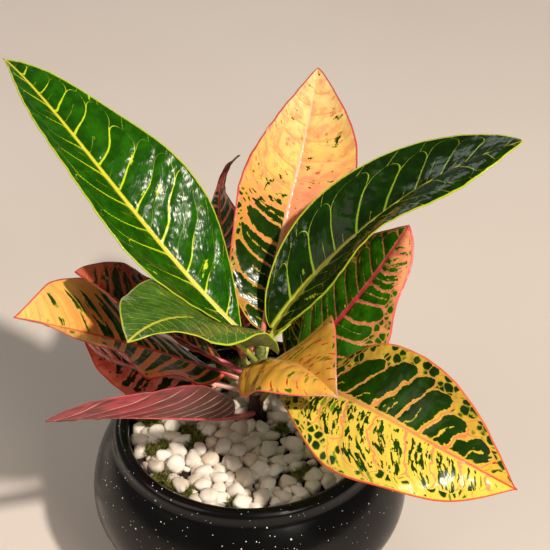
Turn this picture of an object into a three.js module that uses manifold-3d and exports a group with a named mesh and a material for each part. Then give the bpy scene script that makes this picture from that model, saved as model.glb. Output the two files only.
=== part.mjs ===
// A potted croton: a black glazed bowl filled with soil, white pebbles and one
// short woody stem that carries fifteen large leaves.
// Millimetres, +Z up. The origin is the centre of the pot's flat foot.
import * as THREE from 'three';
import { mergeVertices } from 'three/addons/utils/BufferGeometryUtils.js';
import Module from 'manifold-3d';

const manifold = await Module();
manifold.setup();

// ---- driving dimensions -------------------------------------------------

const fitGap = 0.4;                 // clear gap between neighbouring pieces

const pot = {
  height: 100,
  bellyRadius: 100,
  bellyHeight: 51,
  footRadius: 46,
  lipOuterRadius: 84.5,
  lipInnerRadius: 75,
  floorThickness: 8,
  segments: 48,
};
const soilTop = 84;
const bed = { top: 88.6, radius: 74.2, segments: 28 };
const pebble = {
  count: 118, seed: 11, sides: 6, rows: 4,
  longRadius: [5.6, 7.6], crossRatio: [0.7, 0.92], riseRatio: [0.58, 0.72],
  sinkHeight: 88.3, clearOfStem: 14, clearOfWall: 1.2, packing: 0.74,
};
const stem = {
  foot: new THREE.Vector3(3.3, 16, 92),    // where it leaves the pebbles
  crown: new THREE.Vector3(8, 16, 152),    // where the youngest leaf leaves it
  footRadius: 5.2, crownRadius: 3.2,
  rootEnd: 70.5, budTop: 158, sides: 12,
  seatGap: 0.15,                    // between a leaf's stalk and the stem
  nodeSpacing: 8, nodeWaist: 0.3,
};
const petioleRadius = 1.9;
const blade = {
  thickness: 0.7,
  ribDepth: 1.1,                    // how far the midrib stands out below, at the base
  tipHalfWidth: 0.35,
  pathSteps: 200,
  petioleRings: [0, 0.5],           // share of the petiole's length
  stations: [0, 0.03, 0.08, 0.16, 0.25, 0.34, 0.43, 0.52, 0.61, 0.7, 0.79, 0.87, 0.94, 1],
  columns: [0, 0.08, 0.36, 0.68, 1],
};

// Each leaf leaves the stem at a height, towards an azimuth, and rises by its
// lift. It droops and sweeps along its length, and its two halves fold up from
// the midrib. Angles are in degrees.
const leaves = {
  leaf_upper_left: { height: 146, azimuth: 174.5, lift: 44.5, droop: 48, bendAt: 2.5,
    sweep: -52, sweepAt: 0.6, roll: 1, twist: -4, petiole: 10, length: 248, width: 88,
    widest: 0.34, basePower: 0.9, tipPower: 1.1, fold: [24, 18], tipFold: [34, 14],
    curl: [0, 10], wave: [2, 2.5], waves: 2.1, wavePhase: 50, color: 0x2f6320 },
  leaf_upright: { height: 149, azimuth: 84, lift: 30.5, droop: -38, bendAt: 2.4,
    sweep: -16, sweepAt: 0.6, roll: -36, twist: 0, petiole: 4, length: 179, width: 82,
    widest: 0.58, basePower: 0.5, tipPower: 0.7, fold: [-22, -20], tipFold: [38, 44],
    curl: [15, 25], wave: [-3, 3], waves: 2.7, wavePhase: -50, color: 0xe0a23c },
  leaf_upper_right: { height: 144, azimuth: 48, lift: 45.5, droop: 21, bendAt: 2.5,
    sweep: -60, sweepAt: 0.6, roll: 4, twist: 32, petiole: 9, length: 194, width: 80,
    widest: 0.58, basePower: 0.5, tipPower: 0.7, fold: [42, 48], tipFold: [10, -10],
    curl: [45, -40], wave: [-1, 4.5], waves: 1.5, wavePhase: 100, color: 0x2a5a1e },
  leaf_mid_right: { height: 112, azimuth: -4, lift: 41.5, droop: -18, bendAt: 0.6,
    sweep: 22, sweepAt: 0.6, roll: -2, twist: 8, petiole: 25, length: 117, width: 79,
    widest: 0.42, basePower: 0.8, tipPower: 0.9, fold: [10, 6], tipFold: [10, -14],
    curl: [5, -25], wave: [2, 4.5], waves: 1.9, wavePhase: -100, color: 0x4c6a24 },
  leaf_lower_right: { height: 107, azimuth: -57, lift: 61.5, droop: 97, bendAt: 0.9,
    sweep: 60, sweepAt: 2.7, roll: 12, twist: -30, petiole: 31, length: 185, width: 82,
    widest: 0.56, basePower: 1.1, tipPower: 1.1, fold: [-8, -4], tipFold: [52, -6],
    curl: [35, -20], wave: [1.5, 4.5], waves: 2.6, wavePhase: 100, color: 0xa8902e },
  leaf_front_orange: { height: 126, azimuth: -79.5, lift: 53, droop: 71, bendAt: 1.9,
    sweep: 30, sweepAt: 1, roll: 14, twist: -68, petiole: 28, length: 90, width: 71,
    widest: 0.48, basePower: 1.2, tipPower: 1.2, fold: [20, 6], tipFold: [2, 74],
    curl: [0, -65], wave: [-1, 4.5], waves: 2.2, wavePhase: -160, color: 0xbf7a28 },
  leaf_front_left: { height: 137, azimuth: -123.5, lift: 56.5, droop: 48, bendAt: 1.6,
    sweep: 12, sweepAt: 2.2, roll: -7, twist: -12, petiole: 20, length: 147, width: 88,
    widest: 0.38, basePower: 0.9, tipPower: 1, fold: [8, 22], tipFold: [-18, 8],
    curl: [-15, 15], wave: [4.5, 2.5], waves: 2.4, wavePhase: 50, color: 0x56762f },
  leaf_left: { height: 116, azimuth: 173, lift: 20.5, droop: -16, bendAt: 1.1,
    sweep: 49, sweepAt: 1.2, roll: -34, twist: 90, petiole: 16, length: 146, width: 89,
    widest: 0.56, basePower: 0.6, tipPower: 1, fold: [-30, -2], tipFold: [72, 12],
    curl: [10, -20], wave: [4.5, 4.5], waves: 2.7, wavePhase: -160, color: 0xa8602c },
  leaf_left_back: { height: 121, azimuth: 175.5, lift: 30.5, droop: -11, bendAt: 1.2,
    sweep: 1, sweepAt: 1.3, roll: -16, twist: 6, petiole: 20, length: 108, width: 74,
    widest: 0.5, basePower: 0.8, tipPower: 0.7, fold: [12, 4], tipFold: [18, 24],
    curl: [10, 5], wave: [1.5, 1.5], waves: 2.5, wavePhase: 20, color: 0x6a3a22 },
  leaf_lower_left: { height: 106, azimuth: 157.5, lift: 8, droop: -60, bendAt: 2.4,
    sweep: 43, sweepAt: 0.6, roll: 6, twist: 6, petiole: 20, length: 99, width: 67,
    widest: 0.44, basePower: 0.8, tipPower: 1, fold: [8, -16], tipFold: [6, -16],
    curl: [-10, 0], wave: [2, 1], waves: 2.1, wavePhase: -30, color: 0x9a4f30 },
  leaf_low_front: { height: 96, azimuth: -103.5, lift: 33, droop: 27, bendAt: 2.5,
    sweep: -60, sweepAt: 0.6, roll: 3, twist: 18, petiole: 32, length: 132, width: 67,
    widest: 0.54, basePower: 0.7, tipPower: 0.7, fold: [56, -12], tipFold: [66, -50],
    curl: [30, -30], wave: [1.5, 0.5], waves: 2.4, wavePhase: 60, color: 0x8a3a3e },
  leaf_back_narrow: { height: 126, azimuth: 109.5, lift: 39.5, droop: 31, bendAt: 1.6,
    sweep: -58, sweepAt: 3.3, roll: -17, twist: 42, petiole: 13, length: 149, width: 46,
    widest: 0.36, basePower: 0.8, tipPower: 2.4, fold: [6, 14], tipFold: [2, 44],
    curl: [-20, 20], wave: [4.5, -3], waves: 2.8, wavePhase: -90, color: 0x7a3a34 },
  leaf_rear_right: { height: 109, azimuth: 46, lift: 22, droop: 20, bendAt: 1.3,
    sweep: 8, sweepAt: 1, roll: 0, twist: 0, petiole: 24, length: 122, width: 66,
    widest: 0.46, basePower: 0.8, tipPower: 1, fold: [14, 14], tipFold: [10, 10],
    curl: [0, 0], wave: [2.5, 2.5], waves: 2.4, wavePhase: 20, color: 0x5a6a26 },
  leaf_rear: { height: 116, azimuth: 76, lift: 34, droop: 40, bendAt: 1.3,
    sweep: 0, sweepAt: 1, roll: 0, twist: 0, petiole: 24, length: 138, width: 64,
    widest: 0.46, basePower: 0.8, tipPower: 1, fold: [14, 14], tipFold: [10, 10],
    curl: [0, 0], wave: [2.5, 2.5], waves: 2.4, wavePhase: 80, color: 0x2f5c22 },
  leaf_rear_left: { height: 112, azimuth: 112, lift: 22, droop: 18, bendAt: 1.3,
    sweep: 14, sweepAt: 1, roll: 0, twist: 0, petiole: 24, length: 122, width: 60,
    widest: 0.46, basePower: 0.8, tipPower: 1, fold: [14, 14], tipFold: [10, 10],
    curl: [0, 0], wave: [2.5, 2.5], waves: 2.4, wavePhase: 140, color: 0x8a4a2c },
};

// ---- helpers ------------------------------------------------------------

const radians = THREE.MathUtils.degToRad;
const lerp = THREE.MathUtils.lerp;

// A repeatable random sequence between 0 and 1.
function seeded(seed) {
  let state = seed;
  return () => {
    state = (state * 1664525 + 1013904223) % 4294967296;
    return state / 4294967296;
  };
}

function named(name, geometry, color, roughness, metalness = 0) {
  const material = new THREE.MeshStandardMaterial({ color, roughness, metalness });
  const mesh = new THREE.Mesh(geometry, material);
  mesh.name = name;
  return mesh;
}

function solidOf(geometry) {
  const bare = geometry.clone();
  bare.deleteAttribute('normal');
  bare.deleteAttribute('uv');
  const merged = mergeVertices(bare, 1e-4);
  return new manifold.Manifold(new manifold.Mesh({
    numProp: 3,
    vertProperties: new Float32Array(merged.attributes.position.array),
    triVerts: new Uint32Array(merged.index.array),
  }));
}

function geometryOf(solid) {
  const mesh = solid.getMesh();
  return indexed(Array.from(mesh.vertProperties), Array.from(mesh.triVerts));
}

function indexed(positions, triangles) {
  const geometry = new THREE.BufferGeometry();
  geometry.setAttribute('position', new THREE.Float32BufferAttribute(positions, 3));
  geometry.setIndex(triangles);
  geometry.computeVertexNormals();
  return geometry;
}

// A turned solid about the Z axis, from radius and height pairs.
function turned(profile, segments) {
  const points = profile.map(([radius, height]) => new THREE.Vector2(radius, height));
  const geometry = new THREE.LatheGeometry(points, segments);
  geometry.rotateX(Math.PI / 2);
  return geometry;
}

// ---- pot, soil and pebbles ----------------------------------------------

// The belly is an ellipse above its widest ring and a rounder one below it,
// which runs out into the foot.
function bellyRadiusAt(height) {
  const rise = height - pot.bellyHeight;
  if (rise >= 0) {
    const lipRise = pot.height - 8 - pot.bellyHeight;
    const squeeze = 1 - (pot.lipOuterRadius / pot.bellyRadius) ** 2;
    return pot.bellyRadius * Math.sqrt(1 - squeeze * (rise / lipRise) ** 2);
  }
  return pot.bellyRadius * Math.sqrt(1 - (rise / 50) ** 2);
}

function potGeometry() {
  const lipMiddle = (pot.lipOuterRadius + pot.lipInnerRadius) / 2;
  const lipRadius = (pot.lipOuterRadius - pot.lipInnerRadius) / 2;
  const lipCentre = pot.height - lipRadius;
  const outside = [10, 17, 26, 36, 46, 56, 66, 76, 85, 92]
    .map((height) => [bellyRadiusAt(height), height]);
  const lip = [5, 40, 75, 110, 145, 180].map((angle) => [
    lipMiddle + lipRadius * Math.cos(radians(angle)),
    lipCentre + lipRadius * Math.sin(radians(angle))]);
  const inside = [[75.6, 88], [80, 78], [88, 58], [84, 32], [62, 14]];
  const profile = [[0, 0], [pot.footRadius - 1.5, 0], [pot.footRadius, 1.5], [50, 5],
    ...outside, ...lip, ...inside, [0, pot.floorThickness]];
  return turned(profile, pot.segments);
}

function stemHole(top) {
  const depth = top + 5 - stem.rootEnd + fitGap;
  const hole = new THREE.CylinderGeometry(stem.footRadius + fitGap * 1.4,
    stem.footRadius + fitGap * 1.4, depth, 16);
  hole.rotateX(Math.PI / 2);
  hole.translate(stem.foot.x, stem.foot.y, top + 5 - depth / 2);
  return solidOf(hole);
}

function soilGeometry() {
  const inset = 0.9;                 // clears the pot's flat-sided inner wall
  const profile = [[0, pot.floorThickness + fitGap], [62 - inset, 14.6], [84 - inset, 32.3],
    [88 - inset, 57.8], [80 - inset, 77.6], [77.3 - inset, soilTop], [0, soilTop]];
  return geometryOf(solidOf(turned(profile, 32)).subtract(stemHole(soilTop)));
}

// Pebbles drop one after another on random spots of the bed, and a spot that is
// too near a pebble already there is passed over.
function pebbleSpots() {
  const random = seeded(pebble.seed);
  const between = ([low, high]) => low + (high - low) * random();
  const spots = [];
  for (let tries = 0; tries < 9000 && spots.length < pebble.count; tries += 1) {
    const long = between(pebble.longRadius);
    const reach = bed.radius - long - pebble.clearOfWall;
    const distance = reach * Math.sqrt(random());
    const around = random() * Math.PI * 2;
    const spot = {
      x: distance * Math.cos(around), y: distance * Math.sin(around),
      turn: random() * Math.PI, long,
      cross: long * between(pebble.crossRatio), rise: long * between(pebble.riseRatio),
    };
    const fromStem = Math.hypot(spot.x - stem.foot.x, spot.y - stem.foot.y);
    const crowded = spots.some((other) => Math.hypot(spot.x - other.x, spot.y - other.y)
      < (spot.long + other.long) * pebble.packing);
    if (!crowded && fromStem > pebble.clearOfStem) spots.push(spot);
  }
  return spots;
}

function pebbleBedGeometry() {
  const bottom = soilTop + fitGap;
  let solid = solidOf(turned([[0, bottom], [bed.radius, bottom], [bed.radius, bed.top - 1],
    [bed.radius - 1, bed.top], [0, bed.top]], bed.segments));
  const stone = new THREE.SphereGeometry(1, pebble.sides, pebble.rows);
  stone.rotateX(Math.PI / 2);
  for (const spot of pebbleSpots()) {
    const shape = stone.clone();
    shape.scale(spot.long, spot.cross, Math.min(spot.rise, pebble.sinkHeight - bottom - 0.2));
    shape.rotateZ(spot.turn);
    shape.translate(spot.x, spot.y, pebble.sinkHeight);
    solid = solid.add(solidOf(shape));
  }
  return geometryOf(solid.subtract(stemHole(bed.top)));
}

// ---- stem ---------------------------------------------------------------

function alongStem(height) {
  return (height - stem.foot.z) / (stem.crown.z - stem.foot.z);
}

function stemCentre(height) {
  return new THREE.Vector3().lerpVectors(stem.foot, stem.crown,
    Math.max(alongStem(height), 0)).setZ(height);
}

function stemRadius(height) {
  return lerp(stem.footRadius, stem.crownRadius, Math.max(alongStem(height), 0));
}

// The stem narrows between its leaf scars and ends in a small bud.
function stemGeometry() {
  const rings = [{ height: stem.rootEnd, radius: stem.footRadius }];
  for (let height = stem.foot.z; height < stem.crown.z; height += stem.nodeSpacing) {
    rings.push({ height, radius: stemRadius(height) });
    const middle = height + stem.nodeSpacing / 2;
    rings.push({ height: middle, radius: stemRadius(middle) - stem.nodeWaist });
  }
  rings.push({ height: stem.crown.z, radius: stem.crownRadius - 0.2 });
  rings.push({ height: stem.budTop, radius: 0.8 });
  const positions = [];
  const triangles = [];
  for (const { height, radius } of rings) {
    const centre = stemCentre(height);
    for (let side = 0; side < stem.sides; side += 1) {
      const angle = side * 2 * Math.PI / stem.sides;
      positions.push(centre.x + radius * Math.cos(angle),
        centre.y + radius * Math.sin(angle), height);
    }
  }
  const last = (rings.length - 1) * stem.sides;
  for (let side = 0; side < stem.sides; side += 1) {
    const next = (side + 1) % stem.sides;
    for (let ring = 0; ring < rings.length - 1; ring += 1) {
      const low = ring * stem.sides;
      const high = low + stem.sides;
      triangles.push(low + side, low + next, high + next, low + side, high + next, high + side);
    }
    if (side > 0 && side < stem.sides - 1) {
      triangles.push(0, side + 1, side, last, last + side, last + side + 1);
    }
  }
  return indexed(positions, triangles);
}

// ---- leaves -------------------------------------------------------------

// The direction that the midrib runs in at a share of the leaf's whole length.
function heading(leaf, share) {
  const lift = radians(leaf.lift - leaf.droop * share ** leaf.bendAt);
  const azimuth = radians(leaf.azimuth + leaf.sweep * share ** leaf.sweepAt);
  return { lift, azimuth, forward: new THREE.Vector3(
    Math.cos(azimuth) * Math.cos(lift), Math.sin(azimuth) * Math.cos(lift), Math.sin(lift)) };
}

function midribPath(leaf) {
  const total = leaf.petiole + leaf.length;
  const standoff = stemRadius(leaf.height) + stem.seatGap
    + petioleRadius * Math.abs(Math.sin(radians(leaf.lift)));
  const start = stemCentre(leaf.height);
  start.x += standoff * Math.cos(radians(leaf.azimuth));
  start.y += standoff * Math.sin(radians(leaf.azimuth));
  const path = [start];
  for (let step = 0; step < blade.pathSteps; step += 1) {
    const { forward } = heading(leaf, (step + 0.5) / blade.pathSteps);
    path.push(path[step].clone().addScaledVector(forward, total / blade.pathSteps));
  }
  return path;
}

// The place and the three directions of the leaf at a share of its length.
function frameAt(leaf, path, share) {
  const at = share * blade.pathSteps;
  const step = Math.min(Math.floor(at), blade.pathSteps - 1);
  const place = path[step].clone().lerp(path[step + 1], at - step);
  const { azimuth, forward } = heading(leaf, share);
  const level = new THREE.Vector3(Math.sin(azimuth), -Math.cos(azimuth), 0);
  const above = new THREE.Vector3().crossVectors(level, forward);
  const total = leaf.petiole + leaf.length;
  const along = Math.max((share * total - leaf.petiole) / leaf.length, 0);
  const roll = radians(leaf.roll + leaf.twist * along);
  const right = level.clone().multiplyScalar(Math.cos(roll))
    .addScaledVector(above, Math.sin(roll));
  const up = above.clone().multiplyScalar(Math.cos(roll))
    .addScaledVector(level, -Math.sin(roll));
  return { place, right, up, along };
}

// Half of the blade's width, as a share of the most, at a share of its length.
function outlineAt(leaf, along) {
  if (along < leaf.widest) {
    return Math.sin(Math.PI / 2 * along / leaf.widest) ** leaf.basePower;
  }
  const rest = Math.min((along - leaf.widest) / (1 - leaf.widest), 1);
  return Math.max(Math.cos(Math.PI / 2 * rest), 0) ** leaf.tipPower;
}

// The run and rise, for unit half width, of a half that starts at the fold
// angle and turns by the curl angle on its way to the margin.
function crossSection(fold, curl, across) {
  const start = radians(fold);
  const turn = radians(curl);
  if (Math.abs(turn) < 1e-6) return [across * Math.cos(start), across * Math.sin(start)];
  return [(Math.sin(start + turn * across) - Math.sin(start)) / turn,
    (Math.cos(start) - Math.cos(start + turn * across)) / turn];
}

function bladeRow(leaf, frame, along) {
  const { place, right, up } = frame;
  const halfWidth = Math.max(leaf.width / 2 * outlineAt(leaf, along), blade.tipHalfWidth);
  const half = blade.thickness / 2;
  const ribDepth = blade.ribDepth * (1 - 0.8 * along);
  const top = [];
  const bottom = [];
  const last = blade.columns.length - 1;
  for (let column = -last; column <= last; column += 1) {
    const across = blade.columns[Math.abs(column)];
    const half01 = column < 0 ? 0 : 1;
    const sign = column < 0 ? -1 : 1;
    const fold = lerp(leaf.fold[half01], leaf.tipFold[half01], along);
    const [run, rise] = crossSection(fold, leaf.curl[half01], across);
    const shift = half01 ? 1.3 : 0;
    const ripple = leaf.wave[half01] * across ** 2 * Math.sqrt(Math.sin(Math.PI * along))
      * Math.sin(2 * Math.PI * leaf.waves * along + radians(leaf.wavePhase) + shift);
    const tilt = radians(fold + leaf.curl[half01] * across);
    const outward = up.clone().multiplyScalar(column === 0 ? 1 : Math.cos(tilt))
      .addScaledVector(right, column === 0 ? 0 : -sign * Math.sin(tilt));
    const middle = place.clone().addScaledVector(right, sign * halfWidth * run)
      .addScaledVector(up, halfWidth * rise + ripple);
    const below = half + (column === 0 ? ribDepth : 0);
    top.push(middle.clone().addScaledVector(outward, half));
    bottom.push(middle.clone().addScaledVector(outward, -below));
  }
  return { top, bottom };
}

function petioleRow({ place, right, up }) {
  const count = blade.columns.length * 2 - 1;
  const edge = 10;                   // degrees between the rows and the sides
  const top = [];
  const bottom = [];
  for (let column = 0; column < count; column += 1) {
    const angle = radians(edge + (180 - 2 * edge) * column / (count - 1));
    const side = place.clone().addScaledVector(right, -petioleRadius * Math.cos(angle));
    top.push(side.clone().addScaledVector(up, petioleRadius * Math.sin(angle)));
    bottom.push(side.clone().addScaledVector(up, -petioleRadius * Math.sin(angle)));
  }
  return { top, bottom };
}

// The petiole and the blade are one skin of rows, each a top and an underside,
// and both faces are split into triangles along the same diagonals.
function leafGeometry(leaf) {
  const path = midribPath(leaf);
  const total = leaf.petiole + leaf.length;
  const rows = blade.petioleRings.map((share) =>
    petioleRow(frameAt(leaf, path, share * leaf.petiole / total)));
  for (const along of blade.stations) {
    const frame = frameAt(leaf, path, (leaf.petiole + along * leaf.length) / total);
    rows.push(along === 0 ? petioleRow(frame) : bladeRow(leaf, frame, along));
  }
  const count = rows[0].top.length;
  const positions = [];
  for (const { top, bottom } of rows) {
    for (const point of [...top, ...bottom]) positions.push(point.x, point.y, point.z);
  }
  const triangles = [];
  const at = (row, column, under) => row * 2 * count + column + (under ? count : 0);
  const quad = (a, b, c, d) => triangles.push(a, b, c, a, c, d);
  for (let row = 0; row < rows.length - 1; row += 1) {
    for (let column = 0; column < count - 1; column += 1) {
      const [a, b, c, d] = [at(row, column), at(row + 1, column),
        at(row + 1, column + 1), at(row, column + 1)];
      triangles.push(a, c, b, a, d, c);
      quad(a + count, b + count, c + count, d + count);
    }
    const [left, right] = [0, count - 1];
    quad(at(row, right), at(row, right, true), at(row + 1, right, true), at(row + 1, right));
    quad(at(row, left), at(row + 1, left), at(row + 1, left, true), at(row, left, true));
  }
  const end = rows.length - 1;
  for (let column = 0; column < count - 1; column += 1) {
    quad(at(0, column), at(0, column, true), at(0, column + 1, true), at(0, column + 1));
    quad(at(end, column), at(end, column + 1), at(end, column + 1, true), at(end, column, true));
  }
  return indexed(positions, triangles);
}

// ---- assembly -----------------------------------------------------------

const croton = new THREE.Group();
croton.add(named('pot', potGeometry(), 0x0c0c0d, 0.35));
croton.add(named('soil', soilGeometry(), 0x241a12, 1));
croton.add(named('pebble_bed', pebbleBedGeometry(), 0xe8e2d8, 0.6));
croton.add(named('stem', stemGeometry(), 0x4a3524, 0.8));
for (const [name, leaf] of Object.entries(leaves)) {
  croton.add(named(name, leafGeometry(leaf), leaf.color, 0.4));
}

export default croton;
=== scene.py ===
import math
import random

import bpy
import numpy as np
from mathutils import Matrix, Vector


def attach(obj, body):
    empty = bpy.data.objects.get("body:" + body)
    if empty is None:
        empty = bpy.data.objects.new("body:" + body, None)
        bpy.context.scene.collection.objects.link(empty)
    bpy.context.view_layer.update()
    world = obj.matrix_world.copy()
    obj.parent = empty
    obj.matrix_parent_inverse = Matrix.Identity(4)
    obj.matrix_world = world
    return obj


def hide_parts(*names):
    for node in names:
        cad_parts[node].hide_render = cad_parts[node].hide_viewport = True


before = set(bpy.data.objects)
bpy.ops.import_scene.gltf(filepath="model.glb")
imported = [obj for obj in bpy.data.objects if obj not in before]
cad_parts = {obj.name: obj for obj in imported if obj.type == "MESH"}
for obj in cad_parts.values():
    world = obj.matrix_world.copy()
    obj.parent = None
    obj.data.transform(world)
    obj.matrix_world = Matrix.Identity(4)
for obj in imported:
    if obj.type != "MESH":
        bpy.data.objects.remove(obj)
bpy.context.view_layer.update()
scene = bpy.context.scene
mm = 0.001
print("frame loaded:", len(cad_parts), "nodes")


# small helpers for node trees

def hexColor(code):
    # a screen colour such as "e0a23c" as linear light
    parts = [int(code[i:i + 2], 16) / 255 for i in (0, 2, 4)]
    linear = [p / 12.92 if p <= 0.04045 else ((p + 0.055) / 1.055) ** 2.4 for p in parts]
    return (*linear, 1.0)


class Signal:
    # a node's output that can be reckoned with as if it were a number
    def __init__(self, socket):
        self.socket = socket
        self.tree = socket.id_data

    def __add__(self, other):
        return calc("ADD", self, other)

    def __sub__(self, other):
        return calc("SUBTRACT", self, other)

    def __rsub__(self, other):
        return calc("SUBTRACT", other, self)

    def __mul__(self, other):
        return calc("MULTIPLY", self, other)

    def __truediv__(self, other):
        return calc("DIVIDE", self, other)

    def __abs__(self):
        return calc("ABSOLUTE", self)

    def above(self, level):
        return calc("GREATER_THAN", self, level)

    def rise(self, low, high):
        # 0 below low, 1 above high, smooth between
        made = addNode(self.tree, "ShaderNodeMapRange",
                       {"Value": self, "From Min": low, "From Max": high},
                       interpolation_type="SMOOTHSTEP")
        return Signal(made.outputs[0])

    def fall(self, low, high):
        return 1.0 - self.rise(low, high)


def plug(socket, value):
    if isinstance(value, Signal):
        value = value.socket
    if isinstance(value, bpy.types.NodeSocket):
        socket.id_data.links.new(value, socket)
    else:
        socket.default_value = value


def addNode(tree, kind, inputs=None, **settings):
    # inputs go by name or by number
    made = tree.nodes.new(kind)
    for key, value in settings.items():
        setattr(made, key, value)
    for key, value in (inputs or {}).items():
        plug(made.inputs[key], value)
    return made


def calc(operation, *values, clamp=False):
    tree = next(value.tree for value in values if isinstance(value, Signal))
    made = addNode(tree, "ShaderNodeMath", dict(enumerate(values)), operation=operation,
                   use_clamp=clamp)
    return Signal(made.outputs[0])


def least(first, *others):
    for other in others:
        first = calc("MINIMUM", first, other)
    return first


def joined(first, second, third=0.0):
    made = addNode(first.tree, "ShaderNodeCombineXYZ", {0: first, 1: second, 2: third})
    return Signal(made.outputs[0])


def split(signal, kind="XYZ"):
    # the three parts of a vector, or of a colour
    made = addNode(signal.tree, "ShaderNodeSeparate" + kind, {0: signal})
    return [Signal(output) for output in list(made.outputs)[:3]]


def vectorCalc(operation, vector, second):
    made = addNode(vector.tree, "ShaderNodeVectorMath", {0: vector, 1: second},
                   operation=operation)
    return Signal(made.outputs["Value" if operation == "DISTANCE" else "Vector"])


def scaled(vector, scale):
    made = addNode(vector.tree, "ShaderNodeVectorMath", {0: vector, "Scale": scale},
                   operation="SCALE")
    return Signal(made.outputs[0])


def blendColor(amount, first, second):
    first, second = (hexColor(color) if isinstance(color, str) else color
                     for color in (first, second))
    made = addNode(amount.tree, "ShaderNodeMix", {"Factor": amount, 6: first, 7: second},
                   data_type="RGBA")
    return Signal(made.outputs[2])


def grain(vector, scale, detail=2.0, rough=0.5, offset=None):
    if offset is not None:
        vector = vectorCalc("ADD", vector, offset)
    made = addNode(vector.tree, "ShaderNodeTexNoise",
                   {"Vector": vector, "Scale": scale, "Detail": detail, "Roughness": rough})
    return Signal(made.outputs["Fac"])


def cells(vector, scale, randomness=1.0):
    # how far each point is from the middle of its cell, and three random shares for the cell
    made = addNode(vector.tree, "ShaderNodeTexVoronoi",
                   {"Vector": vector, "Scale": scale, "Randomness": randomness})
    return Signal(made.outputs["Distance"]), split(Signal(made.outputs["Color"]), "Color")


def cellEdges(vector, scale, randomness=1.0):
    # how far each point is from the edge of its cell
    made = addNode(vector.tree, "ShaderNodeTexVoronoi",
                   {"Vector": vector, "Scale": scale, "Randomness": randomness},
                   feature="DISTANCE_TO_EDGE")
    return Signal(made.outputs["Distance"])


def colorRamp(value, stops):
    # stops are pairs of a position and a colour or number; one value alone holds everywhere
    if not isinstance(stops, list):
        stops = [(0, stops), (1, stops)]
    made = addNode(value.tree, "ShaderNodeValToRGB", {0: value})
    ramp = made.color_ramp
    while len(ramp.elements) < len(stops):
        ramp.elements.new(0.5)
    for element, (position, color) in zip(ramp.elements, stops):
        element.position = position
        element.color = hexColor(color) if isinstance(color, str) else (color,) * 3 + (1.0,)
    return Signal(made.outputs[0])


def objectPlace(tree):
    return Signal(addNode(tree, "ShaderNodeTexCoord").outputs["Object"])


def storedValue(tree, name, output):
    return Signal(addNode(tree, "ShaderNodeAttribute", attribute_name=name).outputs[output])


def newMaterial(name, **sockets):
    material = bpy.data.materials.new(name)
    material.use_nodes = True
    shader = material.node_tree.nodes["Principled BSDF"]
    for key, value in sockets.items():
        plug(shader.inputs[key.replace("_", " ")], value)
    return material, material.node_tree, shader


def addBump(shader, height, strength, distance):
    bump = addNode(height.tree, "ShaderNodeBump",
                   {"Strength": strength, "Distance": distance, "Height": height})
    plug(shader.inputs["Normal"], bump.outputs[0])


def meshObject(name, points, faces, materials, slots=None):
    mesh = bpy.data.meshes.new(name)
    mesh.from_pydata([tuple(p) for p in points], [], faces)
    for material in materials:
        mesh.materials.append(material)
    if slots is not None:
        mesh.polygons.foreach_set("material_index", slots)
    mesh.polygons.foreach_set("use_smooth", [True] * len(faces))
    mesh.update()
    made = bpy.data.objects.new(name, mesh)
    scene.collection.objects.link(made)
    return made


def dress(piece, slotName, *nodes):
    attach(piece, "root")
    if nodes:
        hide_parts(*nodes)


# camera, light and floor

view = {"place": (0.016, -0.616, 0.634), "pitch": 34.6, "lens": 85, "sensor": 36}

cameraData = bpy.data.cameras.new("camera")
cameraData.lens = view["lens"]
cameraData.sensor_width = view["sensor"]
camera = bpy.data.objects.new("camera", cameraData)
camera.location = view["place"]
camera.rotation_euler = (math.radians(90 - view["pitch"]), 0, 0)
scene.collection.objects.link(camera)
scene.camera = camera

light = {
    "lamps": {
        "key": {"place": (1.62, -1.5, 2.72), "size": 0.22, "power": 132, "color": "fff3e4"},
        "fill": {"place": (-1.1, -0.5, 1.2), "size": 1.2, "power": 6.0, "color": "ffecd8"},
        "back": {"place": (-0.6, 1.5, 1.2), "size": 0.7, "power": 3.5, "color": "f6f4f0"},
        "soft": {"place": (0.95, -1.5, 1.3), "size": 0.45, "power": 6.5, "color": "fff6ea"},
    },
    "aim": (0.0, 0.02, 0.14), "worldColor": "e8e6e4", "worldStrength": 0.17,
    "floorColors": [(0.3, "d8cdc5"), (0.7, "dcd4cc")],
    "floor": [(-4, -4, 0), (4, -4, 0), (4, 6, 0), (-4, 6, 0)],
}

for lampName, lamp in light["lamps"].items():
    lampData = bpy.data.lights.new(lampName + "Light", "AREA")
    lampData.shape = "DISK"
    lampData.size = lamp["size"]
    lampData.energy = lamp["power"]
    lampData.color = hexColor(lamp["color"])[:3]
    lampObject = bpy.data.objects.new(lampName + "Light", lampData)
    lampObject.location = lamp["place"]
    toAim = Vector(light["aim"]) - Vector(lamp["place"])
    lampObject.rotation_euler = toAim.to_track_quat("-Z", "Y").to_euler()
    scene.collection.objects.link(lampObject)

world = bpy.data.worlds.new("studio")
world.use_nodes = True
background = world.node_tree.nodes["Background"]
background.inputs["Color"].default_value = hexColor(light["worldColor"])
background.inputs["Strength"].default_value = light["worldStrength"]
scene.world = world
scene.view_settings.view_transform = "Standard"

floorMaterial, floorTree, floorShader = newMaterial("paleFloor", Roughness=0.6)
plug(floorShader.inputs["Base Color"],
     colorRamp(grain(objectPlace(floorTree), 2.2, 3.0), light["floorColors"]))
floorPiece = meshObject("floor", light["floor"], [(0, 1, 2, 3)], [floorMaterial])
print("camera, light and floor")


# pot: a thrown bowl with a rolled lip, glazed black with white specks

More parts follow.
